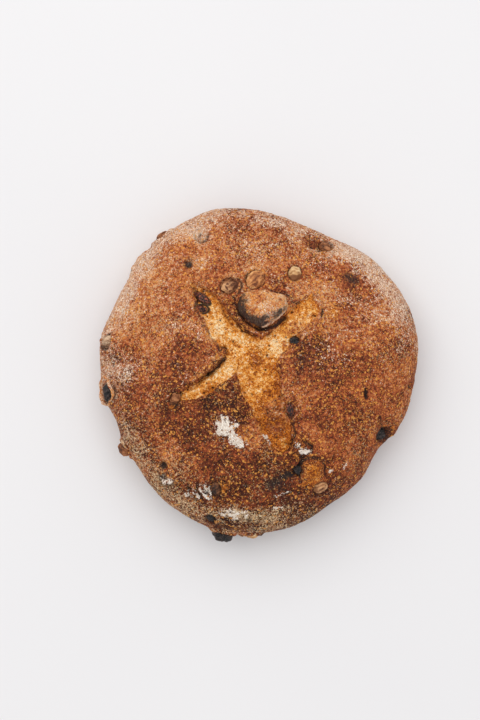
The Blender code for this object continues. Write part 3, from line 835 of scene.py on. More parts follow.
FLOUR_RAG = Ripple(1.0, 2.6, 51, 3)
FLOUR_LUMPS = Ripple(0.5, 1.4, 61, 2)
FLOUR_PILES = (
    FlourPile(-21.6, -31.6, 7.4, 6.6, 70.0, 0.8), FlourPile(-13.6, -40.6, 7.4, 3.8, -35.0, 0.7),
    FlourPile(-15.8, -31.0, 4.0, 2.2, 20.0, 0.5), FlourPile(23.9, -43.3, 2.5, 2.2, 0.0, 1.6),
    FlourPile(28.8, -47.4, 4.0, 2.1, -10.0, 1.8), FlourPile(3.6, -37.6, 1.8, 1.4, -40.0, 0.5, 0.8),
    FlourPile(6.0, -41.0, 2.4, 1.4, -45.0, 0.3, 0.45), FlourPile(-16.3, -87.2, 9.4, 3.8, 0.0, 0.5, 0.72),
    FlourPile(45.3, -59.7, 1.8, 1.6, 0.0, 0.8, 0.8), FlourPile(-57.8, -65.8, 4.6, 2.6, -25.0, 1.2, 0.55),
    FlourPile(-84.0, 2.2, 4.0, 2.6, 0.0, 0.4, 0.6), FlourPile(54.5, -55.6, 1.6, 3.4, -30.0, 0.3, 0.42),
    FlourPile(-33.0, -72.8, 5.6, 5.0, -50.0, 0.3, 0.4), FlourPile(-44.0, -74.8, 3.4, 2.6, -20.0, 0.6, 0.4),
    FlourStreak(((-36.9, -70.6), (-34.9, -74.4), (-31.8, -77.4)), 1.1, 1.6, 0.75),
    FlourStreak(((-34.0, -68.8), (-31.2, -71.8), (-29.9, -76.2)), 1.2, 1.6, 0.75),
    FlourStreak(((-46.0, -73.6), (-43.2, -77.2), (-41.0, -76.0)), 0.9, 0.9, 0.7),
    FlourStreak(((-40.8, -70.2), (-39.6, -74.0), (-37.4, -77.4)), 0.8, 1.6, 0.7),
    FlourStreak(((-61.6, -64.0), (-58.6, -66.8), (-54.8, -66.6)), 1.0, 1.2, 0.7),
    FlourStreak(((8.0, -84.2), (15.0, -83.8)), 0.9, 0.4, 0.5),
    FlourStreak(((10.5, -76.4), (20.0, -73.6)), 1.0, 0.3, 0.4),
    FlourStreak(((-84.4, 46.8), (-88.4, 39.0)), 2.2, 0.4, 0.4),
)


def crust_fields(count: int, **given: Any) -> dict[str, Array]:
    """The crust finish's numbers for so many points: those given, and the usual ones for the rest."""
    return {name: given.get(name, usual) + np.zeros(count) for name, usual in USUAL_FIELDS.items()}


def grid_quads(rows: int, columns: int, row_wrap: int = 0, column_wrap: int = 0) -> Array:
    """Number the four corners of every cell of a grid of points that is kept row by row.

    Args:
        rows: the grid's rows.
        columns: its columns.
        row_wrap: 1 where the last row meets the first one.
        column_wrap: 1 where the last column meets the first one.

    Returns:
        Four numbers a cell.
    """
    index = np.arange(rows * columns).reshape(rows, columns)
    index = np.pad(index, ((0, row_wrap), (0, column_wrap)), mode="wrap")
    return np.stack((index[:-1, :-1], index[1:, :-1], index[1:, 1:], index[:-1, 1:]), axis=2)


def facing_of(sheet: Array) -> Array:
    """Directions of length 1 across a grid of points: its two gradients' cross product."""
    facing = np.cross(np.gradient(sheet, axis=0), np.gradient(sheet, axis=1)).reshape(-1, 3)
    return facing / np.linalg.norm(facing, axis=1)[:, None]


def make_mesh(
    name: str, points: Array, faces: list[Array], fields: dict[str, Array] | None = None
) -> bpy.types.Object:
    """Make a smooth mesh object from points in millimetres, with its faces turned outward.

    The faces are turned round where the signed volume, a sixth of the sum of each corner
    triple's box product, comes out negative.

    Args:
        name: the object's name.
        points: rows of x, y, z.
        faces: arrays of quads or triangles, one row a face.
        fields: numbers for each point, kept as attributes.

    Returns:
        The new object, at the origin.
    """
    placed = (points + BOX_SHIFT) * MILLIMETRE
    triples = [face[:, [0, corner, corner + 1]] for face in faces for corner in range(1, face.shape[1] - 1)]
    first, second, third = (placed[np.concatenate(triples)[:, corner]] for corner in range(3))
    volume = np.einsum("ij,ij->i", first, np.cross(second, third)).sum()
    turned = [face if volume > 0 else face[:, ::-1] for face in faces]
    mesh = bpy.data.meshes.new(name)
    mesh.from_pydata(placed.tolist(), [], [row for face in turned for row in face.tolist()])
    mesh.update()
    mesh.shade_smooth()
    for field_name, values in (fields or {}).items():
        layer = mesh.attributes.new(field_name, "FLOAT", "POINT")
        layer.data.foreach_set("value", values.astype(np.float32))
    item = bpy.data.objects.new(name, mesh)
    bpy.context.scene.collection.objects.link(item)
    return item


def unit_ball(rings: int, segments: int) -> tuple[Array, list[Array]]:
    """Make a ball of radius 1 whose poles lie at +X and -X.

    A ring lies at x = cos of its angle with radius sin of it, and one point closes each pole.

    Args:
        rings: rings between the poles.
        segments: points in a ring.

    Returns:
        The points, and the faces as quads and triangles.
    """
    down = np.pi * (np.arange(rings) + 1) / (rings + 1)
    turn = 2 * np.pi * np.arange(segments) / segments
    x = np.repeat(np.cos(down), segments)
    radius = np.repeat(np.sin(down), segments)
    turns = np.tile(turn, rings)
    body = np.column_stack((x, radius * np.cos(turns), radius * np.sin(turns)))
    points = np.vstack((body, [[1.0, 0.0, 0.0], [-1.0, 0.0, 0.0]]))
    near = np.arange(segments)
    following = (near + 1) % segments
    quads = grid_quads(rings, segments, column_wrap=1)
    top = rings * segments
    last = (rings - 1) * segments
    cap = np.column_stack((np.full(segments, top), near, following))
    end = np.column_stack((np.full(segments, top + 1), last + following, last + near))
    return points, [quads.reshape(-1, 4), np.vstack((cap, end))]


class Value:
    """A shader socket that takes part in plain arithmetic."""

    def __init__(self, graph: "Graph", socket: bpy.types.NodeSocket) -> None:
        """Hold a socket and the graph that it belongs to."""
        self.graph = graph
        self.socket = socket

    def math(self, operation: str, first: Any, second: Any) -> "Value":
        """One Math node on two values."""
        return self.graph.add("ShaderNodeMath", {"operation": operation}, {0: first, 1: second})

    def __add__(self, other: Any) -> "Value":
        """Self plus other."""
        return self.math("ADD", self, other)

    def __radd__(self, other: Any) -> "Value":
        """Other plus self."""
        return self.math("ADD", other, self)

    def __sub__(self, other: Any) -> "Value":
        """Self less other."""
        return self.math("SUBTRACT", self, other)

    def __rsub__(self, other: Any) -> "Value":
        """Other less self."""
        return self.math("SUBTRACT", other, self)

    def __mul__(self, other: Any) -> "Value":
        """Self times other."""
        return self.math("MULTIPLY", self, other)

    def __rmul__(self, other: Any) -> "Value":
        """Other times self."""
        return self.math("MULTIPLY", other, self)

    def rise(self, low: float, high: float) -> "Value":
        """Rise smoothly from 0 to 1 between two values."""
        settings = {"interpolation_type": "SMOOTHSTEP"}
        return self.graph.add("ShaderNodeMapRange", settings, {0: self, 1: low, 2: high, 3: 0.0, 4: 1.0})


class Graph:
    """A material's node tree, with one Principled shader."""

    def __init__(self, name: str) -> None:
        """Make the material and keep its shader.

        Args:
            name: the material's name.
        """
        self.material = bpy.data.materials.new(name)
        self.material.use_nodes = True
        self.tree = self.material.node_tree
        self.shader = self.tree.nodes["Principled BSDF"]

    def add(self, kind: str, settings: dict[str, Any], sockets: dict[Any, Any], output: int = 0) -> Value:
        """Add a node: its settings first, then its sockets' values or links.

        Args:
            kind: the node's type.
            settings: the node's own properties, and stops for a ramp.
            sockets: values, or Value links, by input number or name.
            output: which output to return.

        Returns:
            That output.
        """
        node = self.tree.nodes.new(kind)
        for key, setting in settings.items():
            if key == "stops":
                self.set_stops(node.color_ramp, setting)
            else:
                setattr(node, key, setting)
        for key, value in sockets.items():
            self.feed(node.inputs[key], value)
        return Value(self, node.outputs[output])

    def set_stops(self, ramp: bpy.types.ColorRamp, stops: tuple[tuple[float, Colour], ...]) -> None:
        """Give a colour ramp its stops.

        Args:
            ramp: the ramp.
            stops: places from 0 to 1 and their colours.
        """
        while len(ramp.elements) < len(stops):
            ramp.elements.new(0.5)
        for element, (position, colour) in zip(ramp.elements, stops):
            element.position = position
            element.color = colour

    def feed(self, socket: bpy.types.NodeSocket, value: Any) -> None:
        """Link a Value to a socket, or set the socket's own value.

        Args:
            socket: the socket.
            value: a Value to link, or a plain value to set.
        """
        if isinstance(value, Value):
            self.tree.links.new(value.socket, socket)
        else:
            socket.default_value = value

    def place(self) -> Value:
        """Object coordinates, in metres."""
        return self.add("ShaderNodeTexCoord", {}, {}, 3)

    def attribute(self, name: str) -> Value:
        """A number kept at the mesh's points."""
        return self.add("ShaderNodeAttribute", {"attribute_name": name}, {}, 2)

    def grain(self, place: Value, scale: float, detail: float = 2.0, roughness: float = 0.55) -> Value:
        """Noise from 0 to 1 with so many waves a metre."""
        sockets = {"Vector": place, "Scale": scale, "Detail": detail, "Roughness": roughness}
        return self.add("ShaderNodeTexNoise", {}, sockets)

    def warp(self, place: Value, scale: float, reach: float) -> Value:
        """Push coordinates about by noise, as far as half the reach in metres.

        Args:
            place: the coordinates.
            scale: waves a metre.
            reach: twice the farthest push.

        Returns:
            The pushed coordinates.
        """
        push = self.add("ShaderNodeTexNoise", {}, {"Vector": place, "Scale": scale, "Detail": 1.0}, 1)
        centred = self.add("ShaderNodeVectorMath", {"operation": "SUBTRACT"}, {0: push, 1: (0.5, 0.5, 0.5)})
        size = (reach, reach, reach)
        scaled = self.add("ShaderNodeVectorMath", {"operation": "MULTIPLY"}, {0: centred, 1: size})
        return self.add("ShaderNodeVectorMath", {"operation": "ADD"}, {0: place, 1: scaled})

    def grains(self, place: Value, scale: float) -> tuple[Value, Value, Value]:
        """Draw three numbers from 0 to 1 for every grain of a scattered pattern.

        Args:
            place: the coordinates.
            scale: grains a metre.

        Returns:
            The three numbers.
        """
        drawn = self.add("ShaderNodeTexVoronoi", {}, {"Vector": place, "Scale": scale}, 1)
        split = self.add("ShaderNodeSeparateXYZ", {}, {0: drawn}).socket.node
        return Value(self, split.outputs[0]), Value(self, split.outputs[1]), Value(self, split.outputs[2])

    def ramp(self, factor: Value, stops: tuple[tuple[float, Colour], ...]) -> Value:
        """Colours blended along a number."""
        return self.add("ShaderNodeValToRGB", {"stops": stops}, {0: factor})

    def mix(self, factor: Any, first: Any, second: Any) -> Value:
        """Blend two colours."""
        return self.add("ShaderNodeMix", {"data_type": "RGBA"}, {0: factor, 6: first, 7: second}, 2)

    def finish(
        self, colour: Value, roughness: Value, height: Value, depth: float, strength: float,
        shine: float = 0.15,
    ) -> bpy.types.Material:
        """Feed the shader and end the material.

        Args:
            colour: the base colour.
            roughness: the roughness.
            height: the bump's height from 0 to 1.
            depth: what a height of 1 is, in metres.
            strength: the bump's strength.
            shine: the specular level.

        Returns:
            The material.
        """
        bump = self.add("ShaderNodeBump", {}, {"Strength": strength, "Distance": depth, "Height": height})
        self.feed(self.shader.inputs["Base Color"], colour)
        self.feed(self.shader.inputs["Roughness"], roughness)
        self.feed(self.shader.inputs["Normal"], bump)
        self.shader.inputs["Specular IOR Level"].default_value = shine
        return self.material


@dataclass(frozen=True)
class CrustFinish:
    """Baked crust with golden crumb in its cuts, char and painted shade, and flour on top."""

    crust_stops: tuple[tuple[float, Colour], ...] = (
        (0.0, tint(46, 21, 14)), (0.3, tint(104, 47, 27)), (0.5, tint(154, 74, 40)),
        (0.7, tint(188, 104, 58)), (1.0, tint(224, 162, 108)),
    )
    crumb_stops: tuple[tuple[float, Colour], ...] = (
        (0.0, tint(110, 52, 22)), (0.3, tint(184, 98, 32)), (0.5, tint(218, 138, 54)),
        (0.7, tint(239, 173, 86)), (1.0, tint(250, 220, 172)),
    )
    golden: Colour = tint(218, 140, 64)
    tan: Colour = tint(208, 170, 124)
    dark: Colour = tint(72, 38, 30)
    flake: Colour = tint(232, 160, 76)
    orange: Colour = tint(222, 134, 34)
    dark_crumb: Colour = tint(116, 52, 26)
    charred_and_shaded: Colour = tint(40, 33, 32)
    powder: tuple[Colour, Colour] = (tint(180, 128, 98), tint(250, 228, 204))
    earthy: tuple[Colour, Colour] = (tint(152, 118, 84), tint(248, 222, 178))
    flour: tuple[Colour, Colour] = (tint(204, 184, 166), tint(255, 246, 234))

    def crust_colour(self, graph: Graph, place: Value, small: Value, broad: Value) -> Value:
        """Colour the crust: a ramp with golden, tan and dark grains and larger flakes.

        Args:
            graph: the material's graph.
            place: its coordinates.
            small: noise of about two millimetres, from -0.5 to 0.5.
            broad: noise of about a centimetre, from -0.5 to 0.5.

        Returns:
            The colour.
        """
        gold = graph.attribute("gold")
        tone = graph.attribute("tone")
        zone = graph.grain(place, 26.0, 2.0, 0.6)
        first, second, third = graph.grains(graph.warp(place, 1800.0, 0.0006), 1650.0)
        large, wide, _ = graph.grains(graph.warp(place, 800.0, 0.0012), 900.0)
        level = tone + small * 1.2 + broad * 0.9 + (first - 0.5) * 0.35
        colour = graph.ramp(level, self.crust_stops)
        colour = graph.mix((wide + broad * 0.5).rise(0.82, 0.95) * 0.4, colour, self.dark)
        golden = (second + gold * 0.2).rise(0.84, 0.92) * (tone * 0.7 + 0.36)
        colour = graph.mix(golden, colour, self.golden)
        pale = third + (zone - 0.5) * 0.8 + graph.attribute("dust") * 0.12 + (tone - 0.46) * 0.3
        colour = graph.mix((pale - 0.02).rise(0.87, 0.94) * 0.65, colour, self.tan)
        colour = graph.mix((1.0 - first).rise(0.86, 0.92) * 0.55, colour, self.dark)
        return graph.mix((large + gold * 0.06).rise(0.955, 0.975) * 0.8, colour, self.flake)

    def crumb_colour(self, graph: Graph, place: Value, small: Value, broad: Value) -> Value:
        """Colour the crumb: a ramp with orange and dark grains.

        Args:
            graph: the material's graph.
            place: its coordinates.
            small: noise of about two millimetres, from -0.5 to 0.5.
            broad: noise of about a centimetre, from -0.5 to 0.5.

        Returns:
            The colour.
        """
        first, second, third = graph.grains(graph.warp(place, 1600.0, 0.0006), 1500.0)
        level = graph.attribute("pale") + small * 1.3 + broad * 1.1 + (first - 0.5) * 0.55
        colour = graph.ramp(level, self.crumb_stops)
        colour = graph.mix(second.rise(0.74, 0.9) * 0.7, colour, self.orange)
        return graph.mix((1.0 - third).rise(0.88, 0.95) * 0.65, colour, self.dark_crumb)

    def make(self) -> bpy.types.Material:
        """Build the material: crust and crumb, then dust, char with painted shade, and flour laid on top.

        The dust is earthier in the loaf's lower half, towards -Y.

        Returns:
            The material.
        """
        graph = Graph("crust")
        place = graph.place()
        fine = graph.grain(place, 900.0, 3.0, 0.7)
        small = graph.grain(place, 420.0, 2.0, 0.6)
        patchy = small - 0.5
        rough = fine - 0.5
        broad = graph.grain(place, 70.0, 3.0, 0.6) - 0.5
        crust = self.crust_colour(graph, place, patchy, broad)
        crumb = self.crumb_colour(graph, place, patchy, broad)
        inside = (graph.attribute("crumb") + patchy * 1.2).rise(0.25, 0.75)
        colour = graph.mix(inside, crust, crumb)
        tiny, speck, clump = graph.grains(graph.warp(place, 1800.0, 0.0005), 1700.0)
        laid = graph.attribute("dust") * 0.8 + graph.attribute("tone") * 0.4 - 0.3
        cover = (laid + patchy * 1.5 - tiny * 0.9).rise(-0.1, 0.12)
        upper = graph.add("ShaderNodeSeparateXYZ", {}, {0: place}, 1).rise(-0.06, -0.005)
        powder = graph.mix(upper, graph.mix(speck, *self.earthy), graph.mix(speck, *self.powder))
        colour = graph.mix(cover * (speck * 0.5 + 0.48), colour, powder)
        # The dark mix is burnt crust and also painted shade in cracks, crevices, holes, cut edges and under
        # the curled corner.
        burnt = (graph.attribute("char") + rough * 0.9 + (speck - 0.5) * 0.3).rise(0.2, 1.0)
        colour = graph.mix(burnt * 0.94, colour, self.charred_and_shaded)
        flour = graph.attribute("flour")
        heap = flour * 1.25 - clump * 0.75 + rough * 1.1 + patchy * 2.6
        heap = heap.rise(0.22, 0.46) * flour.rise(0.02, 0.16)
        colour = graph.mix(heap, colour, graph.mix(speck, *self.flour))
        roughness = 0.7 + heap * 0.2 + inside * 0.1 + rough * 0.3
        return graph.finish(colour, roughness, fine * 0.5 + small * 0.7 + speck * 0.25, 0.0009, 0.7)


@dataclass(frozen=True)
class KernelFinish:
    """A roasted hazelnut: pale flesh, toasted ridges and scraps of brown skin."""

    dark: Colour
    middle: Colour
    light: Colour
    skin: Colour
    skin_share: float
    dust_share: float

    def make(self, name: str) -> bpy.types.Material:
        """Build the material from the ridge attribute and two noises.

        Args:
            name: the material's name.

        Returns:
            The material.
        """
        graph = Graph(name)
        place = graph.place()
        fine = graph.grain(place, 900.0, 3.0, 0.65)
        small = graph.grain(place, 330.0, 2.0, 0.6)
        level = graph.attribute("ridge") + (fine - 0.5) * 0.8 + (small - 0.5) * 0.8
        flesh = graph.ramp(level, ((0.1, self.dark), (0.5, self.middle), (0.9, self.light)))
        skin = (small + (fine - 0.5) * 0.4).rise(0.62 - self.skin_share, 0.8 - self.skin_share)
        colour = graph.mix(skin, flesh, self.skin)
        dust = (fine + (small - 0.5) * 0.5).rise(0.95 - self.dust_share, 1.15 - self.dust_share)
        colour = graph.mix(dust, colour, tint(232, 214, 190))
        return graph.finish(colour, 0.55 + fine * 0.25, fine * 0.6 + small * 0.7, 0.0006, 0.5, 0.3)


@dataclass(frozen=True)
class RaisinFinish:
    """A raisin: dark wrinkled skin, lighter on its ridges and darker in its folds, partly its own colour and
    partly painted highlight and shade, with a faint shine and a little flour.
    """

    dark: Colour
    light: Colour

    def make(self, name: str) -> bpy.types.Material:
        """Build the material from the ridge attribute and two noises.

        Args:
            name: the material's name.

        Returns:
            The material.
        """
        graph = Graph(name)
        place = graph.place()
        fine = graph.grain(place, 1000.0, 3.0, 0.65)
        small = graph.grain(place, 300.0, 2.0, 0.6)
        # Lighter ridges and darker folds: partly the raisin's own colour, partly painted highlight and
        # painted shade.
        level = (graph.attribute("ridge") + (small - 0.5) * 0.9).rise(0.2, 1.0)
        colour = graph.mix(level, self.dark, self.light)
        dust = (fine + (small - 0.5) * 0.6).rise(0.66, 0.86)
        colour = graph.mix(dust * 0.35, colour, tint(150, 128, 112))
        return graph.finish(colour, 0.28 + fine * 0.3, fine * 0.4 + small, 0.0014, 0.9, 0.5)


@dataclass(frozen=True)
class ScatterFinish:
    """Loose flour or bran: one colour that drifts a little from grain to grain."""

    stops: tuple[tuple[float, Colour], ...]

    def make(self, name: str) -> bpy.types.Material:
        """Build the material from two noises.

        Args:
            name: the material's name.

        Returns:
            The material.
        """
        graph = Graph(name)
        place = graph.place()
        drift = graph.grain(place, 300.0, 2.0, 0.6)
        fine = graph.grain(place, 1500.0, 2.0, 0.6)
        colour = graph.ramp(drift + (fine - 0.5) * 0.4, self.stops)
        return graph.finish(colour, 0.8 + (fine - 0.5) * 0.2, fine, 0.0002, 0.4)


@dataclass(frozen=True)
class FloorFinish:
    """A plain pale floor."""

    pale: Colour = tint(238, 237, 238)
    shade: Colour = tint(232, 231, 233)

    def make(self) -> bpy.types.Material:
        """Build the material: two pale tones and a fine tooth.

        Returns:
            The material.
        """
        graph = Graph("floor")
        place = graph.place()
        broad = graph.grain(place, 3.0, 2.0, 0.5)
        fine = graph.grain(place, 800.0, 2.0, 0.5)
        colour = graph.mix(broad, self.pale, self.shade)
        return graph.finish(colour, 0.6 + (fine - 0.5) * 0.1, fine, 0.0001, 0.1)


class Piece:
    """A piece that builds its own mesh and dresses it."""

    slot = "crust"

    def solids(self) -> tuple[str, ...]:
        """The solids that the piece stands for."""
        return ("loaf",)

    def build(self) -> bpy.types.Object:
        """Make the piece's mesh."""
        raise NotImplementedError

    def dress(self, material: bpy.types.Material) -> None:
        """Build the piece, give it its material and body, and hide the solids it stands for.

        Args:
            material: the piece's material.
        """
        item = self.build()
        item.data.materials.append(material)
        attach(item, BODY)
        if self.solids():
            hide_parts(*self.solids())
        LOG.info("%s: %d points", item.name, len(item.data.vertices))


@dataclass
class Loaf(Piece):
    """The loaf's crust, as one closed surface."""

    relief: CrustRelief
    colouring: Colouring
    cells: int = 312
    crown_share: float = 0.9
    foot_shares: tuple[float, ...] = (0.96, 0.88, 0.74, 0.5, 0.24)
    texture: tuple[Ripple, ...] = (Ripple(0.16, 1.7, 31, 2), Ripple(0.22, 6.0, 33, 2))
    ear_height: float = 2.4
    corner_lip_height: float = 2.8
    fold_depth: float = 2.2
    surface: Array = field(init=False, repr=False)
    facing: Array = field(init=False, repr=False)
    fields: dict[str, Array] = field(init=False, repr=False)

    def wrap_grid(self) -> tuple[Array, Array]:
        """Wrap a square grid over the dome.

        Square rings become round ones: a point's ring number is the larger of its two
        distances from the middle, and its angle is an eighth of a turn times their ratio.

        Returns:
            The plain dome's points and their outward directions.
        """
        side = np.linspace(-1.0, 1.0, self.cells + 1)
        across, along = (part.ravel() for part in np.meshgrid(side, side, indexing="ij"))
        ring = np.maximum(np.abs(across), np.abs(along))
        safe = np.where(ring > 0, ring, 1.0)
        wide = np.pi / 4 * along / safe * np.sign(across) + np.where(across < 0, np.pi, 0.0)
        tall = np.pi / 2 - np.pi / 4 * across / safe * np.sign(along) + np.where(along < 0, np.pi, 0.0)
        angle = np.where(np.abs(across) >= np.abs(along), wide, tall)
        length, share, height = FORM.side_profile()
        rim_run = float(np.interp(-FORM.rim_height, -height, length))
        below = (ring - self.crown_share) / (1.0 - self.crown_share)
        run = np.where(below < 0.0, rim_run * ring / self.crown_share, rim_run + (1.0 - rim_run) * below)
        radius = np.interp(run, length, share) * closed_curve(FORM.rim_radii, angle)
        up = np.interp(run, length, height)
        points = np.column_stack((radius * np.cos(angle), radius * np.sin(angle), up))
        return points, facing_of(points.reshape(self.cells + 1, self.cells + 1, 3))

    def shape(self, points: Array) -> tuple[Array, dict[str, Array]]:
        """Work out the relief's height over the plain dome, and the colour fields that go with it.

        The cuts are opened deeper than they look, since the crumb is a piece of its own.

        Args:
            points: the plain dome's points.

        Returns:
            The height along each point's direction, and the named fields.
        """
        x, y, z = points.T
        relief = self.relief
        edge, _ = relief.edges(points)
        height = relief.waves(points)
        bed = relief.cut_depth + relief.bed_depth
        height = height - bed * smooth_step(-edge, -0.2, relief.wall_run) * (1.0 - relief.covered(x, y))
        height = height + relief.lip_height * bell(edge - 1.4, relief.lip_run) * (edge > -1.5)
        height = add_up(self.texture, height, points)
        height = height + 0.22 * lumps(points, 2.4, 35)
        char = self.colouring.total("char", x, y) * smooth_step(z, 22.0, 32.0)
        height = height + self.ear_height * bell(from_line(x, y, relief.ear_line), 3.4)
        height = height + self.corner_lip_height * bell(from_line(x, y, relief.corner_lip_line), 2.5)
        height = height - self.fold_depth * bell(from_line(x, y, relief.fold_line), 2.2)
        height = add_up(relief.swellings + relief.hollows, height, points)
        # Crevices round the nuts and raisins, the cracks and the creases between knobs are painted dark with
        # shade, in the same field as the char.
        for topping in TOPPINGS:
            lift, dark = relief.seat(points, topping)
            height = height + lift
            char = np.maximum(char, 0.75 * dark)
        depth, dark = relief.splits(points)
        height = height - depth
        char = np.maximum(char, dark)
        knob, dark = relief.knobs(points)
        height = height + knob
        char = np.maximum(char, 0.8 * dark)
        rag = FLOUR_RAG.read(points)
        crumbly = 1.0 + FLOUR_LUMPS.read(points)
        flour = np.zeros(len(points))
        for pile in FLOUR_PILES:
            cover = pile.read(x, y, rag)
            height = height + pile.thickness * cover * crumbly
            flour = np.maximum(flour, cover)
        colours = self.colour(points, edge)
        return height * smooth_step(z, 0.5, 8.0), crust_fields(len(x), char=char, flour=flour, **colours)

    def colour(self, points: Array, edge: Array) -> dict[str, Array]:
        """Work out where crumb shows through, and the crust's dust, gold, tone and paleness.

        Args:
            points: the plain dome's points.
            edge: their distance beyond the nearest cut's edge.

        Returns:
            The named fields.
        """
        x, y, z = points.T
        ear = from_line(x, y, self.relief.ear_line)
        lip = from_line(x, y, self.relief.corner_lip_line)
        shades = self.colouring
        total = shades.total
        angle = np.arctan2(y, x)
        band = smooth_step(FORM.plan_share(x, y) - 0.05 * np.sin(angle - np.pi / 4), 0.8, 0.95)
        band = band * (1.0 + shades.rim_ripple.read(points))
        dust = band * closed_curve(shades.rim_dust, angle) + shades.dust_ripple.read(points)
        gold = total("gold", x, y) + 0.6 * bell(np.maximum(edge, 0.0), 3.2)
        # The ear's edge is made lighter and more golden, a painted highlight; the corner's lip gets a darker
        # tone and a little gold, the gold partly a painted highlight.
        gold = gold + 0.2 * bell(lip, 2.2) + 0.5 * bell(ear, 2.6) + shades.gold_ripple.read(points)
        tone = shades.base_tone + total("tone", x, y) + shades.tone_ripple.read(points)
        tone = tone - 0.12 * smooth_step(-z, -20.0, -2.0) - 0.2 * smooth_step(-edge, 0.0, 2.0)
        tone = tone - 0.16 * bell(lip, 3.0) + 0.16 * bell(ear, 2.6)
        pale = shades.base_pale + shades.pale_ripple.read(points)
        return {
            "crumb": total("thin", x, y), "dust": dust + total("dust", x, y), "gold": gold, "tone": tone,
            "pale": pale,
        }

    def close_foot(self, points: Array) -> tuple[Array, list[Array]]:
        """Close the flat foot with rings that each have half as many points as the one outside.

        Args:
            points: the wrapped grid's points.

        Returns:
            The foot's own points and its triangles.
        """
        count = self.cells + 1
        index = np.arange(count * count).reshape(count, count)
        outer = np.concatenate((index[:-1, 0], index[-1, :-1], index[:0:-1, -1], index[0, :0:-1]))
        rows: list[Array] = []
        triangles: list[Array] = []
        edge = points[outer] * np.array([1.0, 1.0, 0.0])
        following = count * count
        for ring, share in enumerate(self.foot_shares):
            inner_points = edge[::2 ** (ring + 1)] * share
            inner = following + np.arange(len(inner_points))
            first, second, third = outer[0::2], outer[1::2], np.roll(outer[0::2], -1)
            near, far = inner, np.roll(inner, -1)
            triangles.append(np.column_stack((second, first, near)))
            triangles.append(np.column_stack((second, near, far)))
            triangles.append(np.column_stack((third, second, far)))
            rows.append(inner_points)
            following += len(inner_points)
            outer = inner
        rows.append(np.zeros((1, 3)))
        triangles.append(np.column_stack((np.roll(outer, -1), outer, np.full(len(outer), following))))
        return np.vstack(rows), triangles

    def build(self) -> bpy.types.Object:
        """Build the loaf and keep its surface for what is scattered on it.

        Returns:
            The loaf's object.
        """
        plain, outward = self.wrap_grid()
        height, fields = self.shape(plain)
        points = plain + outward * height[:, None]
        points[plain[:, 2] < 1e-6, 2] = 0.0
        foot, triangles = self.close_foot(points)
        count = self.cells + 1
        quads = grid_quads(count, count).reshape(-1, 4)
        foot_fields = crust_fields(len(foot), char=0.1, dust=0.4, gold=0.1, tone=0.36, pale=0.0)
        joined = {key: np.concatenate((value, foot_fields[key])) for key, value in fields.items()}
        self.surface = points
        self.fields = fields
        self.facing = facing_of(points.reshape(count, count, 3))
        return make_mesh("loaf_crust", np.vstack((points, foot)), [quads, *triangles], joined)


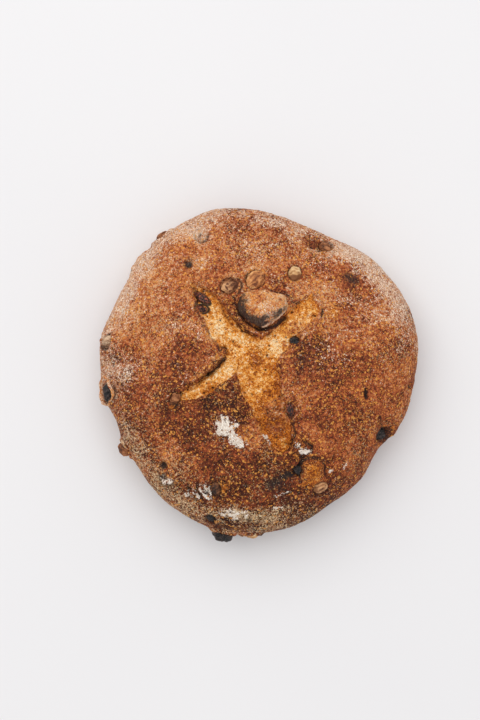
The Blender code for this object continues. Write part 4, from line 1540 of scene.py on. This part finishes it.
@dataclass(frozen=True)
class Crumb(Piece):
    """The torn crumb that shows in the opened cuts, as a thick sheet tucked under the crust."""

    relief: CrustRelief
    colouring: Colouring
    spacing: float = 0.36
    low: tuple[float, float] = (-57.0, -53.0)
    high: tuple[float, float] = (42.0, 65.0)
    tuck: float = 2.8
    dive: float = 3.4
    skin_tone: float = 0.62
    thickness: float = 4.5
    pore_count: int = 150
    pore_tries: int = 2400
    pore_radii: tuple[float, float] = (0.22, 0.72)
    pore_seed: int = 5
    texture: tuple[Ripple, ...] = (Ripple(0.7, 6.0, 25, 3), Ripple(0.4, 1.2, 27, 2))

    def pores(self) -> Array:
        """List the pores: those that show clearly, and seeded ones along the cuts.

        Returns:
            Rows of x, y and radius.
        """
        draw = np.random.default_rng(self.pore_seed)
        tries = np.column_stack([draw.uniform(*span, self.pore_tries) for span in ((-50, 40), (-48, 56))])
        beyond, _ = self.relief.cuts(tries[:, 0], tries[:, 1])
        kept = tries[beyond < -0.6][:self.pore_count]
        sizes = draw.uniform(*self.pore_radii, len(kept))
        return np.vstack((np.array(self.relief.pores), np.column_stack((kept, sizes))))

    def shape(self, points: Array) -> tuple[Array, dict[str, Array]]:
        """Work out the crumb's height over the plain dome, and its colour fields.

        Args:
            points: places on the plain dome.

        Returns:
            The height to add and the named fields.
        """
        x, y, _ = points.T
        relief = self.relief
        shades = self.colouring
        total = shades.total
        edge, share = relief.edges(points)
        covered = relief.covered(x, y)
        height = relief.waves(points) + relief.crumb_rise * np.clip(1.0 - share ** 2, 0.0, 1.0)
        height = height - relief.cut_depth * smooth_step(-edge, -0.4, relief.wall_run)
        height = height - self.dive * smooth_step(edge, -0.7, 1.4) - self.dive * covered
        bubbly = 0.5 + 0.5 * bell(np.hypot(x + 27.0, y - 30.0), 14.0)
        bubbles = lumps(points, 3.6, 21)
        height = height + bubbly * (1.1 * bubbles + 0.6 * lumps(points, 1.7, 23)) - 0.8
        height = add_up(self.texture, height, points)
        # Painted shade: the crumb is darker where the ear and the corner's lip cover it and where it tucks
        # under the cut's edge.
        char = total("crumb_char_and_shade", x, y) + 0.5 * covered
        char = char + 0.5 * smooth_step(edge, -0.9, 0.3)
        height = add_up(relief.swellings + relief.hollows, height, points)
        # The raisins' cavities in the crumb get painted shade.
        for topping in RAISINS:
            lift, dark = relief.seat(points, topping)
            height = height + np.minimum(lift, 0.3)
            char = np.maximum(char, 1.2 * dark)
        depth, dark = relief.splits(points)
        height = height - depth
        char = np.maximum(char, dark)
        # Each pore is painted dark with shade.
        for pore_x, pore_y, radius in self.pores():
            hole = bell(np.hypot(x - pore_x, y - pore_y), radius)
            height = height - 1.6 * radius * hole
            char = np.maximum(char, hole * (0.45 + 0.65 * smooth_step(np.array(radius), 0.3, 0.8)))
        pale = shades.crumb_pale + shades.crumb_ripple.read(points) + total("pale", x, y)
        pale = pale + 0.2 * (bubbles - 0.6) * bubbly
        skin = total("baked", x, y) + shades.skin_ripple.read(points)
        gold = shades.crumb_gold + shades.crumb_gold_ripple.read(points)
        rag = FLOUR_RAG.read(points)
        flour = np.max([pile.read(x, y, rag) for pile in FLOUR_PILES], axis=0)
        crumb = 1.0 - np.clip(skin, 0.0, 1.0)
        return height, crust_fields(
            len(points), crumb=crumb, char=char, flour=flour, gold=gold, tone=self.skin_tone, pale=pale
        )

    def cover_cells(self, edge: Array) -> Array:
        """Choose the grid's cells: all whose corners lie near a cut, with corner contacts filled.

        Args:
            edge: distance beyond the cuts at the grid's points.

        Returns:
            True for each chosen cell.
        """
        inside = edge < self.tuck
        cells = inside[:-1, :-1] & inside[1:, :-1] & inside[:-1, 1:] & inside[1:, 1:]
        for _ in range(4):
            first = cells[:-1, :-1] & cells[1:, 1:] & ~cells[1:, :-1] & ~cells[:-1, 1:]
            second = cells[1:, :-1] & cells[:-1, 1:] & ~cells[:-1, :-1] & ~cells[1:, 1:]
            touching = first | second
            for rows in (slice(0, -1), slice(1, None)):
                for columns in (slice(0, -1), slice(1, None)):
                    cells[rows, columns] |= touching
        return cells

    def build(self) -> bpy.types.Object:
        """Build the crumb: a top and an underside over the chosen cells, and walls between.

        Returns:
            The crumb's object.
        """
        side_x = np.arange(self.low[0], self.high[0], self.spacing)
        side_y = np.arange(self.low[1], self.high[1], self.spacing)
        across, along = np.meshgrid(side_x, side_y, indexing="ij")
        x, y = across.ravel(), along.ravel()
        plain = np.column_stack((x, y, FORM.plan_height(x, y)))
        edge, _ = self.relief.edges(plain)
        cells = self.cover_cells(edge.reshape(across.shape))
        height, fields = self.shape(plain)
        top = plain + np.column_stack((np.zeros((len(x), 2)), height))
        quads = grid_quads(*across.shape)
        padded = np.pad(cells, 1)
        walls = []
        for down, over, first, second in ((0, -1, 0, 1), (1, 0, 1, 2), (0, 1, 2, 3), (-1, 0, 3, 0)):
            beside = padded[1 + down:len(padded) - 1 + down, 1 + over:padded.shape[1] - 1 + over]
            open_side = quads[cells & ~beside]
            start, end = open_side[:, first], open_side[:, second]
            walls.append(np.column_stack((end, start, start + len(x), end + len(x))))
        chosen = quads[cells]
        faces = np.vstack((chosen, chosen[:, ::-1] + len(x), *walls))
        used, renumbered = np.unique(faces, return_inverse=True)
        points = np.vstack((top, top - np.array([0.0, 0.0, self.thickness])))[used]
        kept = {key: np.tile(value, 2)[used] for key, value in fields.items()}
        return make_mesh("cut_crumb", points, [renumbered.reshape(faces.shape)], kept)


@dataclass(frozen=True)
class CurledCorner(Piece):
    """The corner of crust that curled up over the cross and burnt along its lower left."""

    middle: tuple[float, float, float] = (2.6, 42.3, 66.4)
    radii: tuple[float, ...] = (15.0, 15.2, 12.0, 11.6, 13.0, 16.7, 15.8, 12.9, 11.3, 11.7, 10.6, 11.4)
    thickness: float = 7.4
    rise: float = 0.24
    droop: float = 2.6
    ridge: float = 2.2
    fold_line: Line = ((-6.4, 1.5), (-3.5, -5.0), (-0.7, -10.7))
    burnt_line: Line = ((-14.0, 49.0), (-12.6, 41.5), (-8.0, 35.2), (-1.5, 31.0))
    smoky_line: Line = ((0.0, 32.5), (8.0, 35.5), (14.5, 41.0))
    bright_line: Line = ((2.4, 30.6), (9.0, 33.0), (16.0, 39.6))
    texture: tuple[Ripple, ...] = (Ripple(0.55, 5.0, 14, 3), Ripple(0.15, 1.5, 15, 2))
    rings: int = 140
    segments: int = 230

    def build(self) -> bpy.types.Object:
        """Build the corner as a round slab with a drooping edge and a ridge to its tip.

        The plan reach is the outline's radius times a power of the ball's own radius, and the
        height is a tilted, drooping middle plus half the thickness times the ball's height.

        Returns:
            The corner's object.
        """
        ball, faces = unit_ball(self.rings, self.segments)
        unit = ball[:, [1, 2, 0]]
        flat = np.hypot(unit[:, 0], unit[:, 1])
        angle = np.arctan2(unit[:, 1], unit[:, 0])
        ragged = 1.0 + 0.03 * noise(unit * 10.0, 3.0, 7, 3)
        reach = closed_curve(self.radii, angle) * flat ** 0.75 * ragged
        x = reach * np.cos(angle)
        y = reach * np.sin(angle)
        middle = -self.rise * y - self.droop * (x / 15.0) ** 2
        fold = from_line(x, y, self.fold_line)
        line = self.ridge * np.exp(-fold / 4.0)
        z = middle + self.thickness / 2 * unit[:, 2] + line * (unit[:, 2] > 0)
        points = np.column_stack((x, y, z)) + np.array(self.middle)
        points = points + unit * add_up(self.texture, 0.0, points)[:, None]
        lines = (self.burnt_line, self.smoky_line, self.bright_line)
        burnt, smoky, bright = (from_line(points[:, 0], points[:, 1], line) for line in lines)
        rag = noise(points, 3.4, 16, 3)
        # The underside is darkened as well: painted shade under the corner.
        char = 1.15 * bell(burnt, 5.8) + 0.72 * bell(smoky, 5.0) + 0.8 * smooth_step(-unit[:, 2], -0.1, 0.2)
        char = char * (1.0 + 0.7 * rag) * (1.0 - 0.8 * bell(bright, 1.0))
        # The pale middle of the top is partly dust and partly a painted highlight.
        pale_and_highlit_top = bell(np.hypot(x - 2.0, y - 1.0), 7.0)
        fields = crust_fields(
            len(x), char=np.clip(char, 0.0, 1.0), tone=0.88 + 0.2 * rag,
            dust=0.5 * bell(smoky, 6.0) + 0.25 * pale_and_highlit_top + 0.9 * bell(bright, 0.9) + 0.4 * rag - 0.08,
            gold=0.6 * bell(np.hypot(x + 4.0, y - 2.0), 8.0) + 0.15 * rag,
        )
        return make_mesh("curled_corner", points, faces, fields)


@dataclass(frozen=True)
class BlisterRim(Piece):
    """The thin torn edge of crust that stands round the burst blister at the left."""

    x: float = -97.8
    y: float = -9.8
    half: tuple[float, float] = (8.6, 9.2)
    turn: float = 0.0
    seed: int = 301
    wall: float = 0.7
    depth: float = 2.4
    lift: float = 0.2
    meridian: float = 34.0
    girth: float = 100.0
    steps: int = 150
    around: int = 20

    def build(self) -> bpy.types.Object:
        """Build the rim: an oval ring in the crust's own plane with a tall oval section.

        A point is the ring's oval, plus the wall times the section's cosine sideways and the
        depth times its sine along the crust's direction. The ring drops with the crust, by the
        square of its reach over twice the crust's radius, and noise makes it ragged.

        Returns:
            The rim's object.
        """
        turns = (2 * np.pi * np.arange(count) / count for count in (self.steps, self.around))
        turn, section = (part.ravel() for part in np.meshgrid(*turns, indexing="ij"))
        ring = np.column_stack((np.cos(turn), np.sin(turn), np.zeros(len(turn))))
        rag = noise(ring * 8.0, 3.0, self.seed, 3)
        tear = noise(ring * 8.0, 4.0, self.seed + 5, 3)
        side = ring * np.array([self.half[1], self.half[0], 0.0])
        side = side / np.linalg.norm(side, axis=1)[:, None]
        local = ring * np.array([self.half[0], self.half[1], 0.0]) * (1.0 + 0.09 * rag)[:, None]
        drop = local[:, 0] ** 2 / (2 * self.meridian) + local[:, 1] ** 2 / (2 * self.girth)
        local = local + side * (self.wall * (1.0 + 0.4 * tear) * np.cos(section))[:, None]
        local[:, 2] = self.lift - drop + (self.depth + 0.9 * tear) * np.sin(section)
        points = local @ tangent_axes(self.x, self.y, self.turn).T + FORM.top_point(self.x, self.y)
        quads = grid_quads(self.steps, self.around, 1, 1)
        # The rim's inner, lower face is darkened: painted shade inside the blister.
        char = 0.9 * smooth_step(-np.cos(section) - 0.7 * np.sin(section), 0.3, 1.1)
        fields = crust_fields(len(points), char=char, tone=0.78 + 0.2 * rag, dust=0.45 + 0.4 * tear, gold=0.4)
        return make_mesh("blister_rim", points, [quads.reshape(-1, 4)], fields)


@dataclass(frozen=True)
class Fruit(Piece):
    """A nut or a raisin, formed from a ball and set in the crust round its solid."""

    topping: Topping

    def solids(self) -> tuple[str, ...]:
        """The nut's or raisin's own solid."""
        return (self.topping.node,)

    def set_in_crust(self, formed: Array) -> Array:
        """Scale a formed ball to its half sizes, lean it onto the crust and centre it on its solid.

        Args:
            formed: the points of a ball of about radius 1.

        Returns:
            The points in place, round the middle of the solid's own box.
        """
        low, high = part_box(self.topping.node)
        middle = np.array((low + high) / 2) / MILLIMETRE - BOX_SHIFT
        half = np.array([self.topping.length, self.topping.width, self.topping.height]) / 2
        return (formed * half) @ tangent_axes(self.topping.x, self.topping.y, self.topping.turn).T + middle


def ball_turns(ball: Array) -> tuple[Array, Array]:
    """Each point's turn about a ball's long axis, and a share that falls to 0 at its poles."""
    return np.arctan2(ball[:, 2], ball[:, 1]), np.sqrt(np.clip(1.0 - ball[:, 0] ** 2, 0.0, 1.0))


@dataclass(frozen=True)
class Kernel(Fruit):
    """A hazelnut."""

    slot = "hazelnut"
    rings: int = 44
    segments: int = 72
    point_size: float = 0.16
    ridge_count: int = 9
    ridge_depth: float = 0.035

    def build(self) -> bpy.types.Object:
        """Build the kernel: an oval ball with a blunt point, fine ridges and small dents.

        Each point of the ball is scaled by one plus the ridges' cosine, which fades at the
        poles, and then by the half sizes.

        Returns:
            The kernel's object.
        """
        ball, faces = unit_ball(self.rings, self.segments)
        seed = 100 + len(self.topping.node)
        turn, fade = ball_turns(ball)
        wander = 3.0 * noise(ball * 4.0 + self.topping.x, 2.4, seed, 2)
        streak = noise(ball * np.array([2.0, 9.0, 9.0]) + self.topping.x, 3.2, seed + 6, 3)
        ridge = 0.5 * np.cos(self.ridge_count * turn + wander) * fade + 0.8 * streak
        tip = self.point_size * np.clip(ball[:, 0], 0.0, 1.0) ** 4
        end = 1.0 - 0.1 * smooth_step(-ball[:, 0], 0.5, 1.0)
        dent = 0.14 * noise(ball * 10.0 + self.topping.y, 7.0, seed + 3, 4)
        swell = (1.0 + self.ridge_depth * ridge + dent)[:, None]
        points = self.set_in_crust(ball * np.column_stack((1.0 + tip, end, end)) * swell)
        away = np.radians(self.topping.burnt_and_shaded_side)
        side = np.array([math.cos(away), math.sin(away), 0.0])
        aside = (points - points.mean(axis=0)) @ side / (self.topping.length / 2)
        # The darker side is partly burnt and partly painted shade.
        level = 0.55 + 0.36 * ridge + 2.4 * dent - self.topping.burn_and_shade * smooth_step(aside, -0.3, 0.6)
        return make_mesh(self.topping.node + "_kernel", points, faces, {"ridge": level})


@dataclass(frozen=True)
class Raisin(Fruit):
    """A raisin."""

    slot = "raisin"
    rings: int = 36
    segments: int = 60
    folds: int = 3
    fold_depth: float = 0.2
    crease_depth: float = 0.26

    def build(self) -> bpy.types.Object:
        """Build the raisin: an oval ball with wandering folds from end to end.

        Each point is scaled by one less the fold depth times the squared cosine of the turn
        times the number of folds, plus finer creases from noise.

        Returns:
            The raisin's object.
        """
        ball, faces = unit_ball(self.rings, self.segments)
        seed = 200 + len(self.topping.node)
        turn, fade = ball_turns(ball)
        wander = 3.2 * noise(ball * 4.0 + self.topping.x, 2.2, seed, 3)
        fold = np.cos(self.folds * turn + 2.0 * ball[:, 0] + wander) ** 2 * fade
        crease = np.abs(noise(ball * 6.0 + self.topping.y, 2.2, seed + 3, 3))
        uneven = 0.3 * noise(ball * 4.0 + self.topping.y, 4.0, seed + 5, 2)
        smooth = np.minimum(crease * 3.0, 1.0)
        swell = 1.05 + uneven - self.fold_depth * fold - self.crease_depth * (1.0 - smooth)
        points = self.set_in_crust(ball * swell[:, None])
        return make_mesh(self.topping.node + "_fruit", points, faces, {"ridge": (1.0 - fold) * smooth})


@dataclass(frozen=True)
class Scatter(Piece):
    """Many small bits that lie on the crust, joined in one mesh.

    The weight says how likely each of the loaf's points is.
    """

    loaf: Loaf
    weight: Array
    name: str
    count: int
    seed: int
    smallest: float
    largest: float
    stretch: float
    flatness: float
    sink: float

    def solids(self) -> tuple[str, ...]:
        """No solid."""
        return ()

    def build(self) -> bpy.types.Object:
        """Lay the bits on the loaf's points, drawn by weight from a seeded generator.

        Each bit is an eight-sided double pyramid, stretched one way, flattened across the
        crust, turned at random in the crust's plane and sunk a little into it.

        Returns:
            The joined object.
        """
        draw = np.random.default_rng(self.seed)
        odds = self.weight / self.weight.sum()
        chosen = draw.choice(len(odds), self.count, replace=False, p=odds)
        size = draw.uniform(self.smallest, self.largest, self.count)
        up = self.loaf.facing[chosen]
        side = np.cross(up, draw.normal(size=(self.count, 3)))
        side = side / np.linalg.norm(side, axis=1)[:, None]
        across = np.cross(up, side)
        ring = np.arange(4) * np.pi / 2
        flat = np.column_stack((np.cos(ring) * self.stretch, np.sin(ring), np.zeros(4)))
        bit = np.vstack((flat, [[0.0, 0.0, self.flatness], [0.0, 0.0, -self.flatness]]))
        uneven = 1.0 + draw.uniform(-0.3, 0.3, (self.count, 6, 1))
        local = bit[None] * uneven * size[:, None, None] / 2
        base = self.loaf.surface[chosen] + up * (size * self.sink)[:, None]
        points = base[:, None] + local[:, :, :1] * side[:, None] + local[:, :, 1:2] * across[:, None]
        points = points + local[:, :, 2:] * up[:, None]
        near, far = np.arange(4), np.roll(np.arange(4), -1)
        top = np.column_stack((near, far, np.full(4, 4)))
        under = np.column_stack((far, near, np.full(4, 5)))
        faces = (np.vstack((top, under))[None] + 6 * np.arange(self.count)[:, None, None]).reshape(-1, 3)
        return make_mesh(self.name, points.reshape(-1, 3), [faces])


@dataclass(frozen=True)
class Studio:
    """The pale floor, the soft light and the camera that looks straight down."""

    floor_size: float = 6.0
    lens: float = 85.0
    camera_place: tuple[float, float, float] = (-0.0122, 0.0092, 1.13)
    sky: float = 0.7
    sky_tint: Colour = (1.0, 0.995, 0.99, 1.0)
    key_power: float = 38.0
    key_place: tuple[float, float, float] = (-0.35, 1.0, 2.3)
    key_size: float = 3.0

    def build(self) -> None:
        """Make the floor, the light, the sky and the camera."""
        half = self.floor_size / 2
        side = np.linspace(-half, half, 9)
        across, along = (part.ravel() for part in np.meshgrid(side, side, indexing="ij"))
        points = np.column_stack((across, along, np.zeros(len(across)))) / MILLIMETRE - BOX_SHIFT
        floor = make_mesh("floor", points, [grid_quads(len(side), len(side)).reshape(-1, 4)])
        if floor.data.polygons[0].normal.z < 0:
            floor.data.flip_normals()
        floor.data.materials.append(FloorFinish().make())
        self.add_key_light()
        world = bpy.data.worlds.new("studio")
        world.use_nodes = True
        background = world.node_tree.nodes["Background"]
        background.inputs["Color"].default_value = self.sky_tint
        background.inputs["Strength"].default_value = self.sky
        bpy.context.scene.world = world
        camera = bpy.data.objects.new("camera", bpy.data.cameras.new("camera"))
        camera.data.lens = self.lens
        camera.location = self.camera_place
        bpy.context.scene.collection.objects.link(camera)
        bpy.context.scene.camera = camera
        bpy.context.scene.view_settings.view_transform = "Standard"

    def add_key_light(self) -> None:
        """Add the one soft square light, turned to face the loaf."""
        lamp = bpy.data.lights.new("key_light", "AREA")
        lamp.energy = self.key_power
        lamp.size = self.key_size
        item = bpy.data.objects.new("key_light", lamp)
        item.location = self.key_place
        item.rotation_euler = (-Vector(self.key_place)).to_track_quat("-Z", "Y").to_euler()
        bpy.context.scene.collection.objects.link(item)


KERNEL_FINISHES = {
    Look.PALE: KernelFinish(
        tint(128, 80, 46), tint(202, 152, 100), tint(234, 198, 148),
        tint(134, 78, 44), 0.0, 0.1),
    Look.TOASTED: KernelFinish(
        tint(112, 60, 34), tint(204, 134, 78), tint(242, 194, 134),
        tint(124, 64, 36), 0.06, 0.05),
    Look.ROASTED: KernelFinish(
        tint(84, 46, 28), tint(164, 110, 70), tint(214, 162, 114),
        tint(96, 50, 30), 0.1, 0.05),
    Look.BROWN: KernelFinish(
        tint(66, 34, 18), tint(132, 78, 44), tint(180, 120, 78),
        tint(72, 40, 26), 0.1, 0.05),
    Look.BURNT: KernelFinish(
        tint(34, 22, 16), tint(94, 56, 34), tint(148, 96, 60),
        tint(40, 26, 20), 0.15, 0.0),
    Look.FLOURED: KernelFinish(
        tint(92, 62, 44), tint(158, 118, 88), tint(212, 180, 148),
        tint(104, 66, 44), 0.05, 0.2),
}
RAISIN_FINISHES = {
    Look.BLACK: RaisinFinish(tint(14, 10, 11), tint(68, 53, 49)),
    Look.SMOKY: RaisinFinish(tint(52, 38, 32), tint(112, 84, 64)),
    Look.RED: RaisinFinish(tint(24, 7, 6), tint(160, 84, 56)),
}


def dress_toppings() -> None:
    """Build and dress every hazelnut and raisin."""
    materials = {look: finish.make("hazelnut_" + look.value) for look, finish in KERNEL_FINISHES.items()}
    materials.update({look: finish.make("raisin_" + look.value) for look, finish in RAISIN_FINISHES.items()})
    for fruit in [Kernel(topping) for topping in HAZELNUTS] + [Raisin(topping) for topping in RAISINS]:
        fruit.dress(materials[fruit.topping.look])


def scatter_bits(loaf: Loaf) -> None:
    """Scatter flour grains where flour lies, and bran flakes over the crust.

    Args:
        loaf: the finished loaf.
    """
    fields = loaf.fields
    x, y, z = loaf.surface.T
    beyond, _ = loaf.relief.cuts(x, y)
    bare = smooth_step(beyond, 0.5, 1.5) * (z > 20.0)
    dusty = np.clip(fields["dust"], 0.0, 1.0) ** 2 * 0.2 + 3.0 * bell(fields["flour"] - 0.4, 0.3)
    lying = (bare + 0.02) * (z > 2.0)
    finish = ScatterFinish(((0.2, tint(206, 172, 130)), (0.7, tint(240, 220, 188))))
    grains = Scatter(loaf, dusty * lying, "flour_grains", 3000, 3, 0.25, 0.6, 1.0, 0.7, 0.2)
    grains.dress(finish.make("loose_flour"))
    golden = bare * (0.3 + np.clip(fields["gold"], 0.0, 1.0) + np.clip(fields["tone"] - 0.4, 0.0, 1.0))
    stops = ((0.25, tint(184, 108, 44)), (0.5, tint(224, 150, 66)), (0.75, tint(238, 182, 104)))
    flakes = Scatter(loaf, golden, "bran_flakes", 1700, 4, 0.5, 1.3, 1.6, 0.3, 0.02)
    flakes.dress(ScatterFinish(stops).make("bran"))


def main() -> None:
    """Build the studio, the loaf's own pieces, the nuts and raisins, and what is scattered on it."""
    logging.basicConfig(level=logging.INFO)
    Studio().build()
    relief, colouring = CrustRelief(), Colouring()
    loaf = Loaf(relief, colouring)
    crust = CrustFinish().make()
    for piece in (loaf, Crumb(relief, colouring), CurledCorner(), BlisterRim()):
        piece.dress(crust)
    dress_toppings()
    scatter_bits(loaf)


if __name__ == "__main__":
    main()
